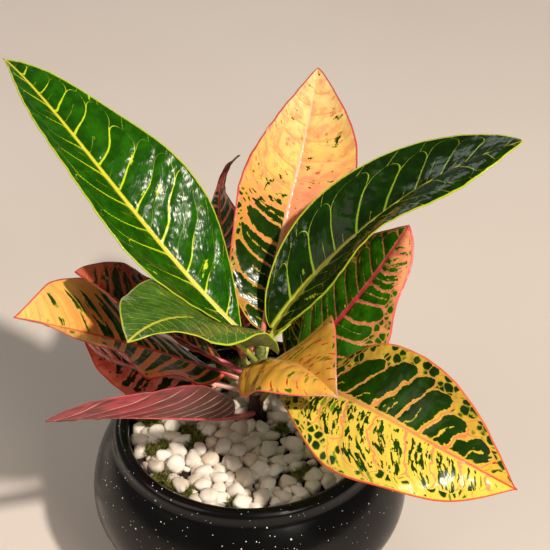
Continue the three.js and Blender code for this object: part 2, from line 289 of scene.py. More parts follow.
pot = {
    "height": 0.1, "bellyRadius": 0.1, "bellyHeight": 0.051, "footRadius": 0.046,
    "lipOuter": 0.0845, "lipInner": 0.075, "lipDrop": 0.008, "undercut": 0.05,
    # steps out from the foot radius, each with its height
    "footRound": [(-0.0015, 0), (-0.0004, 0.0004), (0, 0.0015), (0.0014, 0.0034), (0.004, 0.005)],
    "sideFrom": 0.01, "sideTo": 0.092,
    "inside": [(0.0752, 0.091), (0.0758, 0.087), (0.0775, 0.083), (0.08, 0.078), (0.085, 0.067),
               (0.088, 0.058), (0.0875, 0.045), (0.084, 0.032), (0.075, 0.0215),
               (0.062, 0.014), (0.03, 0.008), (0, 0.008)],
    "segments": 144, "sideSteps": 34, "lipSteps": 14,
    "glaze": [(0.35, "050505"), (0.7, "0b0b0b")], "fleckColor": "e4e2dc",
    # cells in a metre, smallest and largest fleck in a cell, share of cells with a fleck
    "flecks": [(360, 0.07, 0.14, 0.55), (150, 0.05, 0.1, 0.82)],
}


def bellyRadius(height):
    climb = height - pot["bellyHeight"]
    if climb >= 0:
        toLip = pot["height"] - pot["lipDrop"] - pot["bellyHeight"]
        squeeze = 1 - (pot["lipOuter"] / pot["bellyRadius"]) ** 2
        return pot["bellyRadius"] * math.sqrt(1 - squeeze * (climb / toLip) ** 2)
    return pot["bellyRadius"] * math.sqrt(1 - (climb / pot["undercut"]) ** 2)


def potProfile():
    lipMiddle = (pot["lipOuter"] + pot["lipInner"]) / 2
    lipRadius = (pot["lipOuter"] - pot["lipInner"]) / 2
    lipCentre = pot["height"] - lipRadius
    foot = pot["footRadius"]
    profile = [(0, 0), (foot * 0.6, 0)]
    profile += [(foot + step, height) for step, height in pot["footRound"]]
    profile += [(bellyRadius(height), height)
                for height in np.linspace(pot["sideFrom"], pot["sideTo"], pot["sideSteps"])]
    profile += [(lipMiddle + lipRadius * math.cos(angle), lipCentre + lipRadius * math.sin(angle))
                for angle in np.linspace(0, math.pi, pot["lipSteps"])]
    return profile + pot["inside"]


def turned(name, profile, segments, material):
    # a profile of (radius, height) turned round the upright axis
    points, faces, rings = [], [], []
    for radius, height in profile:
        if radius == 0:
            rings.append([len(points)] * segments)
            points.append((0, 0, height))
            continue
        rings.append(range(len(points), len(points) + segments))
        for step in range(segments):
            angle = math.tau * step / segments
            points.append((radius * math.cos(angle), radius * math.sin(angle), height))
    for low, high in zip(rings, rings[1:]):
        for step in range(segments):
            after = (step + 1) % segments
            corners = [low[step], low[after], high[after], high[step]]
            faces.append(tuple(dict.fromkeys(corners)))
    return meshObject(name, points, faces, [material])


potMaterial, potTree, potShader = newMaterial("blackGlaze", Specular_IOR_Level=0.3)
potPlace = objectPlace(potTree)
potColor = colorRamp(grain(potPlace, 26, 4.0), pot["glaze"])
for cell, smallest, largest, share in pot["flecks"]:
    toMiddle, lot = cells(potPlace, cell)
    size = lot[0] * lot[0] * (largest - smallest) + smallest
    here = calc("LESS_THAN", toMiddle, size) * lot[1].above(1 - share)
    potColor = blendColor(here, potColor, pot["fleckColor"])
plug(potShader.inputs["Base Color"], potColor)
plug(potShader.inputs["Roughness"], grain(potPlace, 60, 3.0).rise(0.2, 0.9) * 0.12 + 0.17)
addBump(potShader, grain(potPlace, 180, 3.0), 0.12, 0.0006)

potPiece = turned("glazed_pot", potProfile(), pot["segments"], potMaterial)
dress(potPiece, "pot_glaze", "pot")
print("pot")


# soil: a full body with a crumbly top

soil = {
    "side": [(0, 0.0084), (0.0611, 0.0146), (0.0831, 0.0323), (0.0871, 0.0578), (0.0791, 0.0776),
             (0.0745, 0.0845)],
    "radius": 0.0745, "top": 0.0868, "rings": 30, "segments": 120,
    # height of the lumps, waves in a metre for lumps and crumbs, and how much the crumbs count
    "lumpHeight": 0.00128, "lumpLimit": 1.2, "lumpScale": 420, "crumbScale": 1100,
    "crumbShare": 0.7, "waves": 9, "waveSpeeds": (0.6, 1.6), "calm": 4, "seed": 4,
    "shades": [(0.3, "0c0805"), (0.55, "2a1c12"), (0.72, "4a3826")],
}


def softNoise(x, y, seed, scale):
    # a few waves that add up to gentle lumps
    draw = random.Random(seed)
    total = 0.0
    for _ in range(soil["waves"]):
        angle = draw.uniform(0, math.tau)
        speed = scale * draw.uniform(*soil["waveSpeeds"])
        phase = draw.uniform(0, math.tau)
        total += np.sin((x * math.cos(angle) + y * math.sin(angle)) * speed + phase)
    return total / soil["calm"]


soilMaterial, soilTree, soilShader = newMaterial("pottingSoil", Roughness=0.95)
soilPlace = objectPlace(soilTree)
plug(soilShader.inputs["Base Color"],
     colorRamp(grain(soilPlace, 420, 4.0, 0.7), soil["shades"]))
addBump(soilShader, grain(soilPlace, 500, 4.0, 0.7), 0.9, 0.0012)

soilTop = [(soil["radius"] * ring / soil["rings"], soil["top"])
           for ring in range(soil["rings"], -1, -1)]
soilPiece = turned("soil_body", soil["side"] + soilTop, soil["segments"], soilMaterial)
for vertex in soilPiece.data.vertices:
    if vertex.co.z >= soil["top"] - 1e-6:
        lumps = softNoise(vertex.co.x, vertex.co.y, soil["seed"], soil["lumpScale"])
        crumbs = softNoise(vertex.co.x, vertex.co.y, soil["seed"] + 1, soil["crumbScale"])
        lift = lumps + soil["crumbShare"] * crumbs
        vertex.co.z += soil["lumpHeight"] * max(min(lift, soil["lumpLimit"]), -soil["lumpLimit"])
dress(soilPiece, "soil", "soil")
print("soil")


# pebbles: tumbled white stones scattered in three layers by Geometry Nodes, with room left
# for the moss

pebbles = {
    "longRadius": (0.0050, 0.0072), "crossRadius": (0.0041, 0.0056),
    "riseRadius": (0.0031, 0.0045), "kinds": 7, "lumpiness": 0.62, "lumpScale": 0.75,
    "tilt": 0.5, "clearOfStem": 0.0085, "clearOfMoss": 0.0020, "stemPlace": (0.0033, 0.016),
    "densityLimit": 60000, "seed": 7,
    "layers": [{"radius": 0.0715, "height": 0.0884, "apart": 0.0052, "size": 0.55},
               {"radius": 0.0702, "height": 0.0893, "apart": 0.0074, "size": 1.0},
               {"radius": 0.0660, "height": 0.0924, "apart": 0.0096, "size": 1.0}],
    "shades": [(0.0, "d2c6b4"), (0.35, "e9e0d3"), (0.8, "f5efe5"), (1.0, "dccbb4")],
    "cloudColor": "c2b29e",
}


def geometryTree(name, numbers, shapes=()):
    # a tree with a mesh input, one named input for each number and shape, and a material
    tree = bpy.data.node_groups.new(name, "GeometryNodeTree")
    kinds = {"Geometry": "Geometry"}
    kinds.update({label: type(value).__name__.capitalize() for label, value in numbers.items()})
    kinds.update({label: "Object" for label in shapes})
    kinds["Material"] = "Material"
    sockets = {}
    for label, kind in kinds.items():
        made = tree.interface.new_socket(label, in_out="INPUT", socket_type="NodeSocket" + kind)
        sockets[label] = made.identifier
        if label in numbers:
            made.default_value = numbers[label]
    tree.interface.new_socket("Geometry", in_out="OUTPUT", socket_type="NodeSocketGeometry")
    entry = addNode(tree, "NodeGroupInput")
    return tree, {label: Signal(entry.outputs[label]) for label in kinds}, sockets


def runTree(carrier, tree, sockets, values):
    # the tree's result as a plain mesh on the same object
    modifier = carrier.modifiers.new(tree.name, "NODES")
    modifier.node_group = tree
    for label, value in values.items():
        modifier[sockets[label]] = value
    evaluated = carrier.evaluated_get(bpy.context.evaluated_depsgraph_get())
    mesh = bpy.data.meshes.new_from_object(evaluated)
    carrier.modifiers.clear()
    old = carrier.data
    carrier.data = mesh
    bpy.data.meshes.remove(old)
    mesh.name = carrier.name
    return carrier


def randomVector(tree, limits, seed):
    made = addNode(tree, "FunctionNodeRandomValue", {0: limits[0], 1: limits[1], "Seed": seed},
                   data_type="FLOAT_VECTOR")
    return Signal(made.outputs[0])


def turnLimits(tilt):
    return (-tilt, -tilt, 0), (tilt, tilt, math.tau)


def finishTree(tree, copies, inputs):
    # keeps a random tint from 0 to 1 on each copy, then makes them one smooth mesh
    tint = addNode(tree, "FunctionNodeRandomValue", {"Seed": inputs["Seed"]}, data_type="FLOAT")
    kept = addNode(tree, "GeometryNodeStoreNamedAttribute",
                   {"Geometry": copies, "Name": "tint", "Value": tint.outputs[1]},
                   data_type="FLOAT", domain="INSTANCE")
    whole = addNode(tree, "GeometryNodeRealizeInstances", {0: kept.outputs[0]})
    smooth = addNode(tree, "GeometryNodeSetShadeSmooth", {0: whole.outputs[0]})
    painted = addNode(tree, "GeometryNodeSetMaterial",
                      {"Geometry": smooth.outputs[0], "Material": inputs["Material"]})
    addNode(tree, "NodeGroupOutput", {0: painted.outputs[0]})


def pebbleTree():
    tree, inputs, sockets = geometryTree(
        "pebbleScatter", {"Apart": 0.01, "Size": 1.0, "Clear of stem": pebbles["clearOfStem"],
                          "Clear of moss": pebbles["clearOfMoss"], "Seed": 1}, ("Moss bed",))
    scatter = addNode(tree, "GeometryNodeDistributePointsOnFaces",
                      {"Mesh": inputs["Geometry"], "Distance Min": inputs["Apart"],
                       "Density Max": pebbles["densityLimit"], "Seed": inputs["Seed"]},
                      distribute_method="POISSON")
    spot = Signal(addNode(tree, "GeometryNodeInputPosition").outputs[0])
    toStem = vectorCalc("DISTANCE", vectorCalc("MULTIPLY", spot, (1, 1, 0)),
                        (*pebbles["stemPlace"], 0))
    bed = addNode(tree, "GeometryNodeObjectInfo", {"Object": inputs["Moss bed"]})
    toMoss = addNode(tree, "GeometryNodeProximity", {"Geometry": bed.outputs["Geometry"]},
                     target_element="FACES").outputs["Distance"]
    tooNear = [addNode(tree, "FunctionNodeCompare", {0: gap, 1: limit}, data_type="FLOAT",
                       operation="LESS_THAN").outputs[0]
               for gap, limit in ((toStem, inputs["Clear of stem"]),
                                  (toMoss, inputs["Clear of moss"]))]
    either = addNode(tree, "FunctionNodeBooleanMath", {0: tooNear[0], 1: tooNear[1]},
                     operation="OR")
    cleared = addNode(tree, "GeometryNodeDeleteGeometry",
                      {"Geometry": scatter.outputs["Points"], "Selection": either.outputs[0]},
                      domain="POINT")
    stones = addNode(tree, "GeometryNodeGeometryToInstance")
    for kind in range(pebbles["kinds"]):
        stone = addNode(tree, "GeometryNodeMeshIcoSphere", {"Radius": 1.0, "Subdivisions": 2})
        lump = addNode(tree, "ShaderNodeTexNoise",
                       {"Vector": vectorCalc("ADD", spot, (kind * 3.7, kind * 1.3, kind * 5.1)),
                        "Scale": pebbles["lumpScale"], "Detail": 1.0})
        push = vectorCalc("SUBTRACT", Signal(lump.outputs["Color"]), (0.5, 0.5, 0.5))
        moved = addNode(tree, "GeometryNodeSetPosition",
                        {"Geometry": stone.outputs["Mesh"],
                         "Offset": scaled(push, pebbles["lumpiness"] * 2)})
        plug(stones.inputs[0], moved.outputs[0])
    which = addNode(tree, "FunctionNodeRandomValue",
                    {4: 0, 5: pebbles["kinds"] - 1, "Seed": inputs["Seed"]}, data_type="INT")
    sizes = list(zip(pebbles["longRadius"], pebbles["crossRadius"], pebbles["riseRadius"]))
    placed = addNode(tree, "GeometryNodeInstanceOnPoints",
                     {"Points": cleared.outputs[0], "Instance": stones.outputs[0],
                      "Pick Instance": True, "Instance Index": which.outputs[2],
                      "Rotation": randomVector(tree, turnLimits(pebbles["tilt"]), inputs["Seed"]),
                      "Scale": scaled(randomVector(tree, sizes, inputs["Seed"] + 3),
                                      inputs["Size"])})
    finishTree(tree, placed.outputs[0], inputs)
    return tree, sockets


pebbleMaterial, pebbleNodes, pebbleShader = newMaterial(
    "whitePebble", Roughness=0.42, Subsurface_Weight=0.12, Subsurface_Radius=(1.0, 0.8, 0.6),
    Subsurface_Scale=0.002)
pebblePlace = objectPlace(pebbleNodes)
pebbleBase = colorRamp(storedValue(pebbleNodes, "tint", "Fac"), pebbles["shades"])
pebbleCloud = grain(pebblePlace, 170, 3.0).rise(0.45, 0.75) * 0.3
plug(pebbleShader.inputs["Base Color"],
     blendColor(pebbleCloud, pebbleBase, pebbles["cloudColor"]))
addBump(pebbleShader, grain(pebblePlace, 900, 3.0), 0.18, 0.0004)


moss = {
    # places of the tufts and their radii; the last five, behind the stem under the crown, are moss
    # put there as dark filler for the deep shade under the leaves
    "tufts": [(-0.066, 0.010, 0.0055), (-0.059, 0.004, 0.0045), (-0.060, -0.019, 0.0045),
              (-0.053, -0.013, 0.0045), (-0.037, -0.002, 0.0060), (-0.030, -0.009, 0.0050),
              (-0.034, -0.016, 0.0040), (-0.053, -0.043, 0.0045), (-0.046, -0.050, 0.0045),
              (-0.037, -0.057, 0.0040), (-0.009, -0.064, 0.0035), (0.004, -0.060, 0.0035),
              (0.031, -0.042, 0.0050), (0.037, -0.037, 0.0045), (-0.020, 0.022, 0.0050),
              (0.020, 0.000, 0.0045), (0.045, 0.030, 0.0050), (0.010, 0.050, 0.0050),
              (-0.040, 0.045, 0.0060), (-0.022, 0.064, 0.0060), (-0.010, 0.064, 0.0060),
              (-0.022, 0.052, 0.0060), (-0.010, 0.052, 0.0060), (-0.016, 0.042, 0.0055)],
    "height": 0.0905, "density": 2600000.0, "bladeLength": 0.0048, "bladeRadius": 0.00034,
    "bend": 0.7, "tilt": 1.1, "sizes": ((0.7, 0.7, 0.5), (1.3, 1.3, 1.3)), "seed": 3,
    "shades": [(0.0, "24220a"), (0.4, "4a4c12"), (0.75, "80842a"), (1.0, "b4b04a")],
}


def discs(name, spots, sides=24):
    # flat rounds given as (x, y, z, radius), one mesh
    points, faces = [], []
    for x, y, z, radius in spots:
        start = len(points)
        points += [(x + radius * math.cos(math.tau * k / sides),
                    y + radius * math.sin(math.tau * k / sides), z) for k in range(sides)]
        faces.append(tuple(range(start, start + sides)))
    return meshObject(name, points, faces, [])


mossBed = discs("moss_tufts", [(x, y, moss["height"], r) for x, y, r in moss["tufts"]])
pebbleScatter, pebbleSockets = pebbleTree()
pebbleLayers = []
for number, layer in enumerate(pebbles["layers"]):
    bed = discs(f"pebbleLayer{number}", [(0, 0, layer["height"], layer["radius"])])
    runTree(bed, pebbleScatter, pebbleSockets,
            {"Apart": layer["apart"], "Size": layer["size"], "Seed": pebbles["seed"] + number,
             "Material": pebbleMaterial, "Clear of stem": pebbles["clearOfStem"],
             "Clear of moss": pebbles["clearOfMoss"], "Moss bed": mossBed})
    pebbleLayers.append(bed)
bpy.ops.object.select_all(action="DESELECT")
for layer in pebbleLayers:
    layer.select_set(True)
bpy.context.view_layer.objects.active = pebbleLayers[0]
bpy.ops.object.join()
pebblePiece = bpy.context.view_layer.objects.active
pebblePiece.name = pebblePiece.data.name = "white_pebbles"
dress(pebblePiece, "pebbles", "pebble_bed")
print("pebbles:", len(pebblePiece.data.polygons), "faces")


# moss: short curled blades on the tufts

mossNumbers = {"Density": moss["density"], "Blade length": moss["bladeLength"],
               "Blade radius": moss["bladeRadius"], "Seed": moss["seed"]}


def mossTree():
    tree, inputs, sockets = geometryTree("mossTufts", mossNumbers)
    scatter = addNode(tree, "GeometryNodeDistributePointsOnFaces",
                      {"Mesh": inputs["Geometry"], "Density": inputs["Density"],
                       "Seed": inputs["Seed"]}, distribute_method="RANDOM")
    length = inputs["Blade length"]
    blade = addNode(tree, "GeometryNodeMeshCone",
                    {"Vertices": 3, "Side Segments": 3, "Radius Bottom": inputs["Blade radius"],
                     "Depth": length})
    height = split(Signal(addNode(tree, "GeometryNodeInputPosition").outputs[0]))[2]
    share = height / length
    bent = addNode(tree, "GeometryNodeSetPosition",
                   {"Geometry": blade.outputs["Mesh"],
                    "Offset": joined(share * share * (length * moss["bend"]), 0.0)})
    placed = addNode(tree, "GeometryNodeInstanceOnPoints",
                     {"Points": scatter.outputs["Points"], "Instance": bent.outputs[0],
                      "Rotation": randomVector(tree, turnLimits(moss["tilt"]), inputs["Seed"]),
                      "Scale": randomVector(tree, moss["sizes"], inputs["Seed"] + 5)})
    finishTree(tree, placed.outputs[0], inputs)
    return tree, sockets


mossMaterial, mossNodes, mossShader = newMaterial("mossBlades", Roughness=0.7)
plug(mossShader.inputs["Base Color"],
     colorRamp(storedValue(mossNodes, "tint", "Fac"), moss["shades"]))
mossPiece = runTree(mossBed, *mossTree(), {**mossNumbers, "Material": mossMaterial})
dress(mossPiece, "moss")
print("moss:", len(mossPiece.data.polygons), "faces")


# stem: brown and woody at the foot, green towards the crown, knobbed with leaf scars

stem = {  # millimetres
    "foot": (3.3, 16.0, 92.0), "crown": (8.0, 16.0, 152.0), "footRadius": 5.2,
    "crownRadius": 3.2, "rootEnd": 70.5, "sides": 40, "ringStep": 0.8,
    "skin": 0.25, "scarSpacing": 5.2, "ridge": 0.22, "knob": 0.35, "bark": 0.12,
    # heights and radii of the end bud
    "bud": [(153.4, 2.9), (155.2, 2.2), (156.8, 1.4), (157.6, 0.7)],
    "shades": [(0.0, "2c1a10"), (0.32, "4a3220"), (0.55, "6d6a34"), (0.8, "93a052"),
               (1.0, "a8b060")],
    "speckColor": "1d120b",
}


def stemShare(height):
    return max((height - stem["foot"][2]) / (stem["crown"][2] - stem["foot"][2]), 0)


def stemCentre(height):
    lean = (stem["crown"][0] - stem["foot"][0]) * stemShare(height)
    return np.array([stem["foot"][0] + lean, stem["foot"][1], height])


def stemRadius(height):
    return stem["footRadius"] + (stem["crownRadius"] - stem["footRadius"]) * stemShare(height)


def barkRadius(height, angle):
    scar = math.cos(math.tau * height / stem["scarSpacing"])
    knob = max(math.cos(angle - height * 0.9), 0) ** 3 * max(scar, 0) ** 2
    bark = math.sin(angle * 9 + height * 0.35) * math.sin(height * 1.7 + angle)
    return stemRadius(height) - stem["skin"] + stem["ridge"] * max(scar, 0) ** 4 \
        + stem["knob"] * knob + stem["bark"] * bark


def ringFaces(ring, sides, start=0):
    # the faces between one ring of points and the next
    low, high = start + ring * sides, start + (ring + 1) * sides
    return [(low + side, low + (side + 1) % sides, high + (side + 1) % sides, high + side)
            for side in range(sides)]


def stemPiece(material):
    sides = stem["sides"]
    angles = [math.tau * side / sides for side in range(sides)]
    points, faces = [], []
    for height in np.arange(stem["rootEnd"], stem["crown"][2] + 0.1, stem["ringStep"]):
        for angle in angles:
            radius = barkRadius(height, angle)
            out = [radius * math.cos(angle), radius * math.sin(angle), 0]
            points.append((stemCentre(height) + out) * mm)
    for height, radius in stem["bud"]:
        centre = stemCentre(stem["crown"][2])
        for angle in angles:
            points.append(((centre[0] + radius * math.cos(angle)) * mm,
                           (centre[1] + radius * math.sin(angle)) * mm, height * mm))
    rings = len(points) // sides
    for ring in range(rings - 1):
        faces += ringFaces(ring, sides)
    faces.append(tuple(range(sides - 1, -1, -1)))
    faces.append(tuple(range((rings - 1) * sides, rings * sides)))
    return meshObject("woody_stem", points, faces, [material])


stemMaterial, stemTree, stemShader = newMaterial("stemBark", Roughness=0.7)
stemPlace = objectPlace(stemTree)
stemSpeck = grain(stemPlace, 380, 4.0, 0.65)
stemHeight = split(stemPlace)[2] + (stemSpeck * 0.02 - 0.01)
stemColor = colorRamp((stemHeight - 0.09) / 0.065, stem["shades"])
stemColor = blendColor(stemSpeck.fall(0.4, 0.6) * 0.55, stemColor, stem["speckColor"])
plug(stemShader.inputs["Base Color"], stemColor)
addBump(stemShader, stemSpeck, 0.6, 0.0008)
dress(stemPiece(stemMaterial), "stem_bark", "stem")
print("stem")


# leaves: each a thin blade on a stalk that runs on as its midrib

leafBuild = {
    # counts, and sizes in millimetres
    "pathSteps": 200, "rowStep": 1.6, "columns": 22, "thickness": 0.55, "tipHalfWidth": 0.3,
    "stalkRadius": 1.9, "seatGap": 0.15, "ribSides": 14, "ribStep": 2.2,
    # where the blade's rows start and its midrib ends, as shares of the length
    "firstRow": 0.004, "ribEnd": 0.992,
    # how thick the stalk is drawn, how deep the midrib is for its width, how it thins to the
    # tip, and how it lies in the blade
    "stalkShare": 0.96, "ribDepth": 0.42, "ribTaper": 0.86, "taperPower": 0.8,
    "ribShows": 0.25, "ribInset": 0.1,
    # how the laterals curve, stand apart left and right, and stray: size and pace of each stray
    "lateralCurve": 0.3, "stagger": 0.5, "staggerRun": 3, "drift": (0.13, 0.083),
    "fineDrift": (0.05, 0.21),
    # swellings between the laterals, the groove over the midrib and the fine wave of the margin
    "quilt": 0.75, "quiltRun": 2.2, "marginFrom": 0.7, "marginSwell": 4, "fadeRun": 5,
    "groove": 0.5, "grooveWidth": 2.4, "grooveFade": 0.7, "waveShift": 1.3,
    "flutter": 0.35, "flutterPaces": (0.42, 0.13),
}


def mixed(first, second, share):
    return first + (second - first) * share


def headings(shape, share):
    lift = np.radians(shape["lift"] - shape["droop"] * share ** shape["bendAt"])
    azimuth = np.radians(shape["azimuth"] + shape["sweep"] * share ** shape["sweepAt"])
    forward = np.stack([np.cos(azimuth) * np.cos(lift), np.sin(azimuth) * np.cos(lift),
                        np.sin(lift)], axis=-1)
    return azimuth, forward


def midribPath(shape):
    steps = leafBuild["pathSteps"]
    total = shape["petiole"] + shape["length"]
    standoff = stemRadius(shape["height"]) + leafBuild["seatGap"] \
        + leafBuild["stalkRadius"] * abs(math.sin(math.radians(shape["lift"])))
    around = math.radians(shape["azimuth"])
    start = stemCentre(shape["height"]) \
        + standoff * np.array([math.cos(around), math.sin(around), 0])
    forward = headings(shape, (np.arange(steps) + 0.5) / steps)[1]
    return np.vstack([start, start + np.cumsum(forward * total / steps, axis=0)])


def framesAt(shape, path, share):
    # the place, the way to the right and the way up at each share of the whole length
    at = np.clip(share, 0, 1) * leafBuild["pathSteps"]
    step = np.minimum(at.astype(int), leafBuild["pathSteps"] - 1)
    place = path[step] + (path[step + 1] - path[step]) * (at - step)[:, None]
    azimuth, forward = headings(shape, share)
    level = np.stack([np.sin(azimuth), -np.cos(azimuth), 0 * azimuth], axis=-1)
    above = np.cross(level, forward)
    total = shape["petiole"] + shape["length"]
    along = np.maximum((share * total - shape["petiole"]) / shape["length"], 0)
    roll = np.radians(shape["roll"] + shape["twist"] * along)[:, None]
    right = level * np.cos(roll) + above * np.sin(roll)
    up = above * np.cos(roll) - level * np.sin(roll)
    return place, right, up


def outlineAt(shape, along):
    toWidest = np.sin(math.pi / 2 * np.minimum(along / shape["widest"], 1)) ** shape["basePower"]
    rest = np.clip((along - shape["widest"]) / (1 - shape["widest"]), 0, 1)
    toTip = np.maximum(np.cos(math.pi / 2 * rest), 0) ** shape["tipPower"]
    return np.where(along < shape["widest"], toWidest, toTip)


def veinPhase(x, y, across, look):
    # a whole number on each lateral vein; x runs out from the midrib and y along it
    climb = np.abs(x) * (look["lean"] + leafBuild["lateralCurve"] * across ** 2)
    stagger = leafBuild["stagger"] * np.clip(x / leafBuild["staggerRun"] + 0.5, 0, 1)
    stray, pace = leafBuild["drift"]
    fineStray, finePace = leafBuild["fineDrift"]
    drift = stray * np.sin(y * pace + look["seed"] + 1.9 * np.sign(x)) \
        + fineStray * np.sin(y * finePace + x * 0.1 + look["seed"] * 2)
    return (y - climb) / look["spacing"] + stagger + drift


def bladeFaces(rows, wide):
    # the upper and under face of the blade, and the narrow faces round its margin
    under = rows * wide
    faces, slots = [], []
    for row in range(rows - 1):
        for column in range(wide - 1):
            a = row * wide + column
            b, c, d = a + 1, a + wide + 1, a + wide
            faces += [(a, b, c, d), (a + under, d + under, c + under, b + under)]
            slots += [0, 1]
    left = [row * wide for row in range(rows)]
    tip = [(rows - 1) * wide + column for column in range(wide)]
    right = [row * wide + wide - 1 for row in range(rows - 1, -1, -1)]
    base = list(range(wide - 1, -1, -1))
    for edge in (left, tip, right, base):
        faces += [(a, b, b + under, a + under) for a, b in zip(edge, edge[1:])]
    return faces, slots + [0] * (len(faces) - len(slots))


def bladeMesh(shape, look):
    path = midribPath(shape)
    total = shape["petiole"] + shape["length"]
    rows = int(shape["length"] / leafBuild["rowStep"])
    along = np.linspace(leafBuild["firstRow"], 1, rows)[:, None]
    place, right, up = framesAt(shape, path,
                                (shape["petiole"] + along[:, 0] * shape["length"]) / total)
    wide = 2 * leafBuild["columns"] + 1
    across = np.linspace(-1, 1, wide)[None, :]
    out = np.abs(across)
    isRight = across > 0

    def ofHalf(key):
        return np.where(isRight, shape[key][1], shape[key][0])

    halfWidth = np.maximum(shape["width"] / 2 * outlineAt(shape, along),
                           leafBuild["tipHalfWidth"])
    # each half rises from the midrib at its fold and bends on by its curl
    fold = mixed(ofHalf("fold"), ofHalf("tipFold"), along)
    curl = ofHalf("curl") + 0 * along
    start, turn = np.radians(fold), np.radians(np.where(np.abs(curl) < 0.01, 0.01, curl))
    run = (np.sin(start + turn * out) - np.sin(start)) / turn
    climb = (np.cos(start) - np.cos(start + turn * out)) / turn
    ripple = ofHalf("wave") * out ** 2 * np.sqrt(np.sin(math.pi * np.clip(along, 0, 1))) \
        * np.sin(math.tau * shape["waves"] * along + math.radians(shape["wavePhase"])
                 + np.where(isRight, leafBuild["waveShift"], 0))
    x = across * halfWidth
    y = along * shape["length"] + 0 * across
    # the blade swells between its laterals and sinks along its midrib
    phase = veinPhase(x, y, out + 0 * x, look)
    gap = np.abs(phase - np.round(phase)) * look["spacing"] \
        + leafBuild["marginSwell"] * np.clip(out - leafBuild["marginFrom"], 0, 1)
    fade = np.clip(np.abs(x) / leafBuild["fadeRun"], 0, 1) \
        * np.clip((1 - out) * halfWidth / leafBuild["fadeRun"], 0, 1)
    swell = leafBuild["quilt"] * (1 - np.exp(-(gap / leafBuild["quiltRun"]) ** 2)) * fade
    groove = leafBuild["groove"] * np.exp(-(x / leafBuild["grooveWidth"]) ** 2) \
        * (1 - leafBuild["grooveFade"] * along)
    quickPace, slowPace = leafBuild["flutterPaces"]
    flutter = leafBuild["flutter"] * out ** 6 * np.sin(y * quickPace + np.sign(across) * 2) \
        * np.sin(y * slowPace)
    tilt = np.radians(fold + curl * out)
    side = np.where(isRight, 1, -1)
    tiltUp = np.where(out == 0, 1, np.cos(tilt))[..., None]
    tiltOut = np.where(out == 0, 0, -side * np.sin(tilt))[..., None]
    outward = up[:, None, :] * tiltUp + right[:, None, :] * tiltOut
    skin = place[:, None, :] + right[:, None, :] * (np.sign(across) * halfWidth * run)[..., None] \
        + up[:, None, :] * (halfWidth * climb + ripple)[..., None]
    skin = skin + outward * (swell - groove + flutter)[..., None]
    half = leafBuild["thickness"] / 2
    points = np.concatenate([(skin + outward * half).reshape(-1, 3),
                             (skin - outward * half).reshape(-1, 3)]) * mm
    way = np.stack([phase, across + 0 * x, along + 0 * x], axis=-1).reshape(-1, 3)
    flat = np.stack([x, y, halfWidth + 0 * x], axis=-1).reshape(-1, 3)
    faces, slots = bladeFaces(rows, wide)
    return points, faces, slots, np.vstack([way, way]), np.vstack([flat, flat])


def ribMesh(shape, look, firstPoint):
    # the stalk, which runs on under the blade as its midrib and thins to the tip
    total = shape["petiole"] + shape["length"]
    sides = leafBuild["ribSides"]
    steps = int(total / leafBuild["ribStep"])
    share = np.linspace(0, leafBuild["ribEnd"], steps)
    place, right, up = framesAt(shape, midribPath(shape), share)
    along = (share * total - shape["petiole"]) / shape["length"]
    onBlade = np.clip(along * 6, 0, 1)
    thin = 1 - leafBuild["ribTaper"] * np.clip(along, 0, 1) ** leafBuild["taperPower"]
    stalk = leafBuild["stalkRadius"] * leafBuild["stalkShare"]
    wide = mixed(stalk, look["ribWidth"] / 2, onBlade) * thin
    deep = mixed(stalk, look["ribWidth"] * leafBuild["ribDepth"], onBlade) * thin
    sink = onBlade * (deep - leafBuild["ribInset"] - leafBuild["ribShows"] * thin
                      + leafBuild["groove"] / 2 * thin)
    points = []
    for side in range(sides):
        angle = math.tau * side / sides
        points.append(place + right * (wide * math.cos(angle))[:, None]
                      + up * (deep * math.sin(angle) - sink)[:, None])
    points = np.stack(points, axis=1).reshape(-1, 3) * mm
    faces = [face for row in range(steps - 1) for face in ringFaces(row, sides, firstPoint)]
    faces.append(tuple(firstPoint + k for k in range(sides - 1, -1, -1)))
    faces.append(tuple(firstPoint + (steps - 1) * sides + k for k in range(sides)))
    way = np.stack([0 * share, 0 * share, np.clip(along, -1, 1)], axis=-1)
    flat = np.stack([0 * share, along * shape["length"], 0 * share], axis=-1)
    return points, faces, np.repeat(way, sides, axis=0), np.repeat(flat, sides, axis=0)


def leafPiece(name, shape, look):
    points, faces, slots, way, flat = bladeMesh(shape, look)
    ribPoints, ribFaces, ribWay, ribFlat = ribMesh(shape, look, len(points))
    materials = [topMaterial(name, look), underMaterial(name, look), ribMaterial(name, look)]
    piece = meshObject(name, np.vstack([points, ribPoints]), faces + ribFaces, materials,
                       slots + [2] * len(ribFaces))
    for label, values in (("leafWay", np.vstack([way, ribWay])),
                          ("leafFlat", np.vstack([flat, ribFlat]))):
        attribute = piece.data.attributes.new(label, "FLOAT_VECTOR", "POINT")
        attribute.data.foreach_set("vector", values.astype(np.float32).ravel())
    return piece


def chance(vector):
    # three even random shares that hold for as long as the vector does
    made = addNode(vector.tree, "ShaderNodeTexWhiteNoise", {"Vector": vector})
    return split(Signal(made.outputs["Color"]), "Color")


# what the vein pattern of every leaf shares; a pair is a least value and what chance adds to it
veins = {
    "wanderScale": 0.14, "forkSpread": 0.22, "arch": 0.5, "streakReach": 0.7, "streakEnd": 0.1,
    "streakShut": 9.0, "bandVary": (0.65, 0.7), "islandRandom": 0.8, "islandRound": 0.52,
    "islandMargin": 0.4, "lossRange": (0.2, 0.6), "mottleReach": 26.0,
    # a lateral's width at the midrib, how fast it narrows, and its least width
    "veinStart": 1.2, "veinNarrow": 0.75, "veinLeast": 0.3,
}


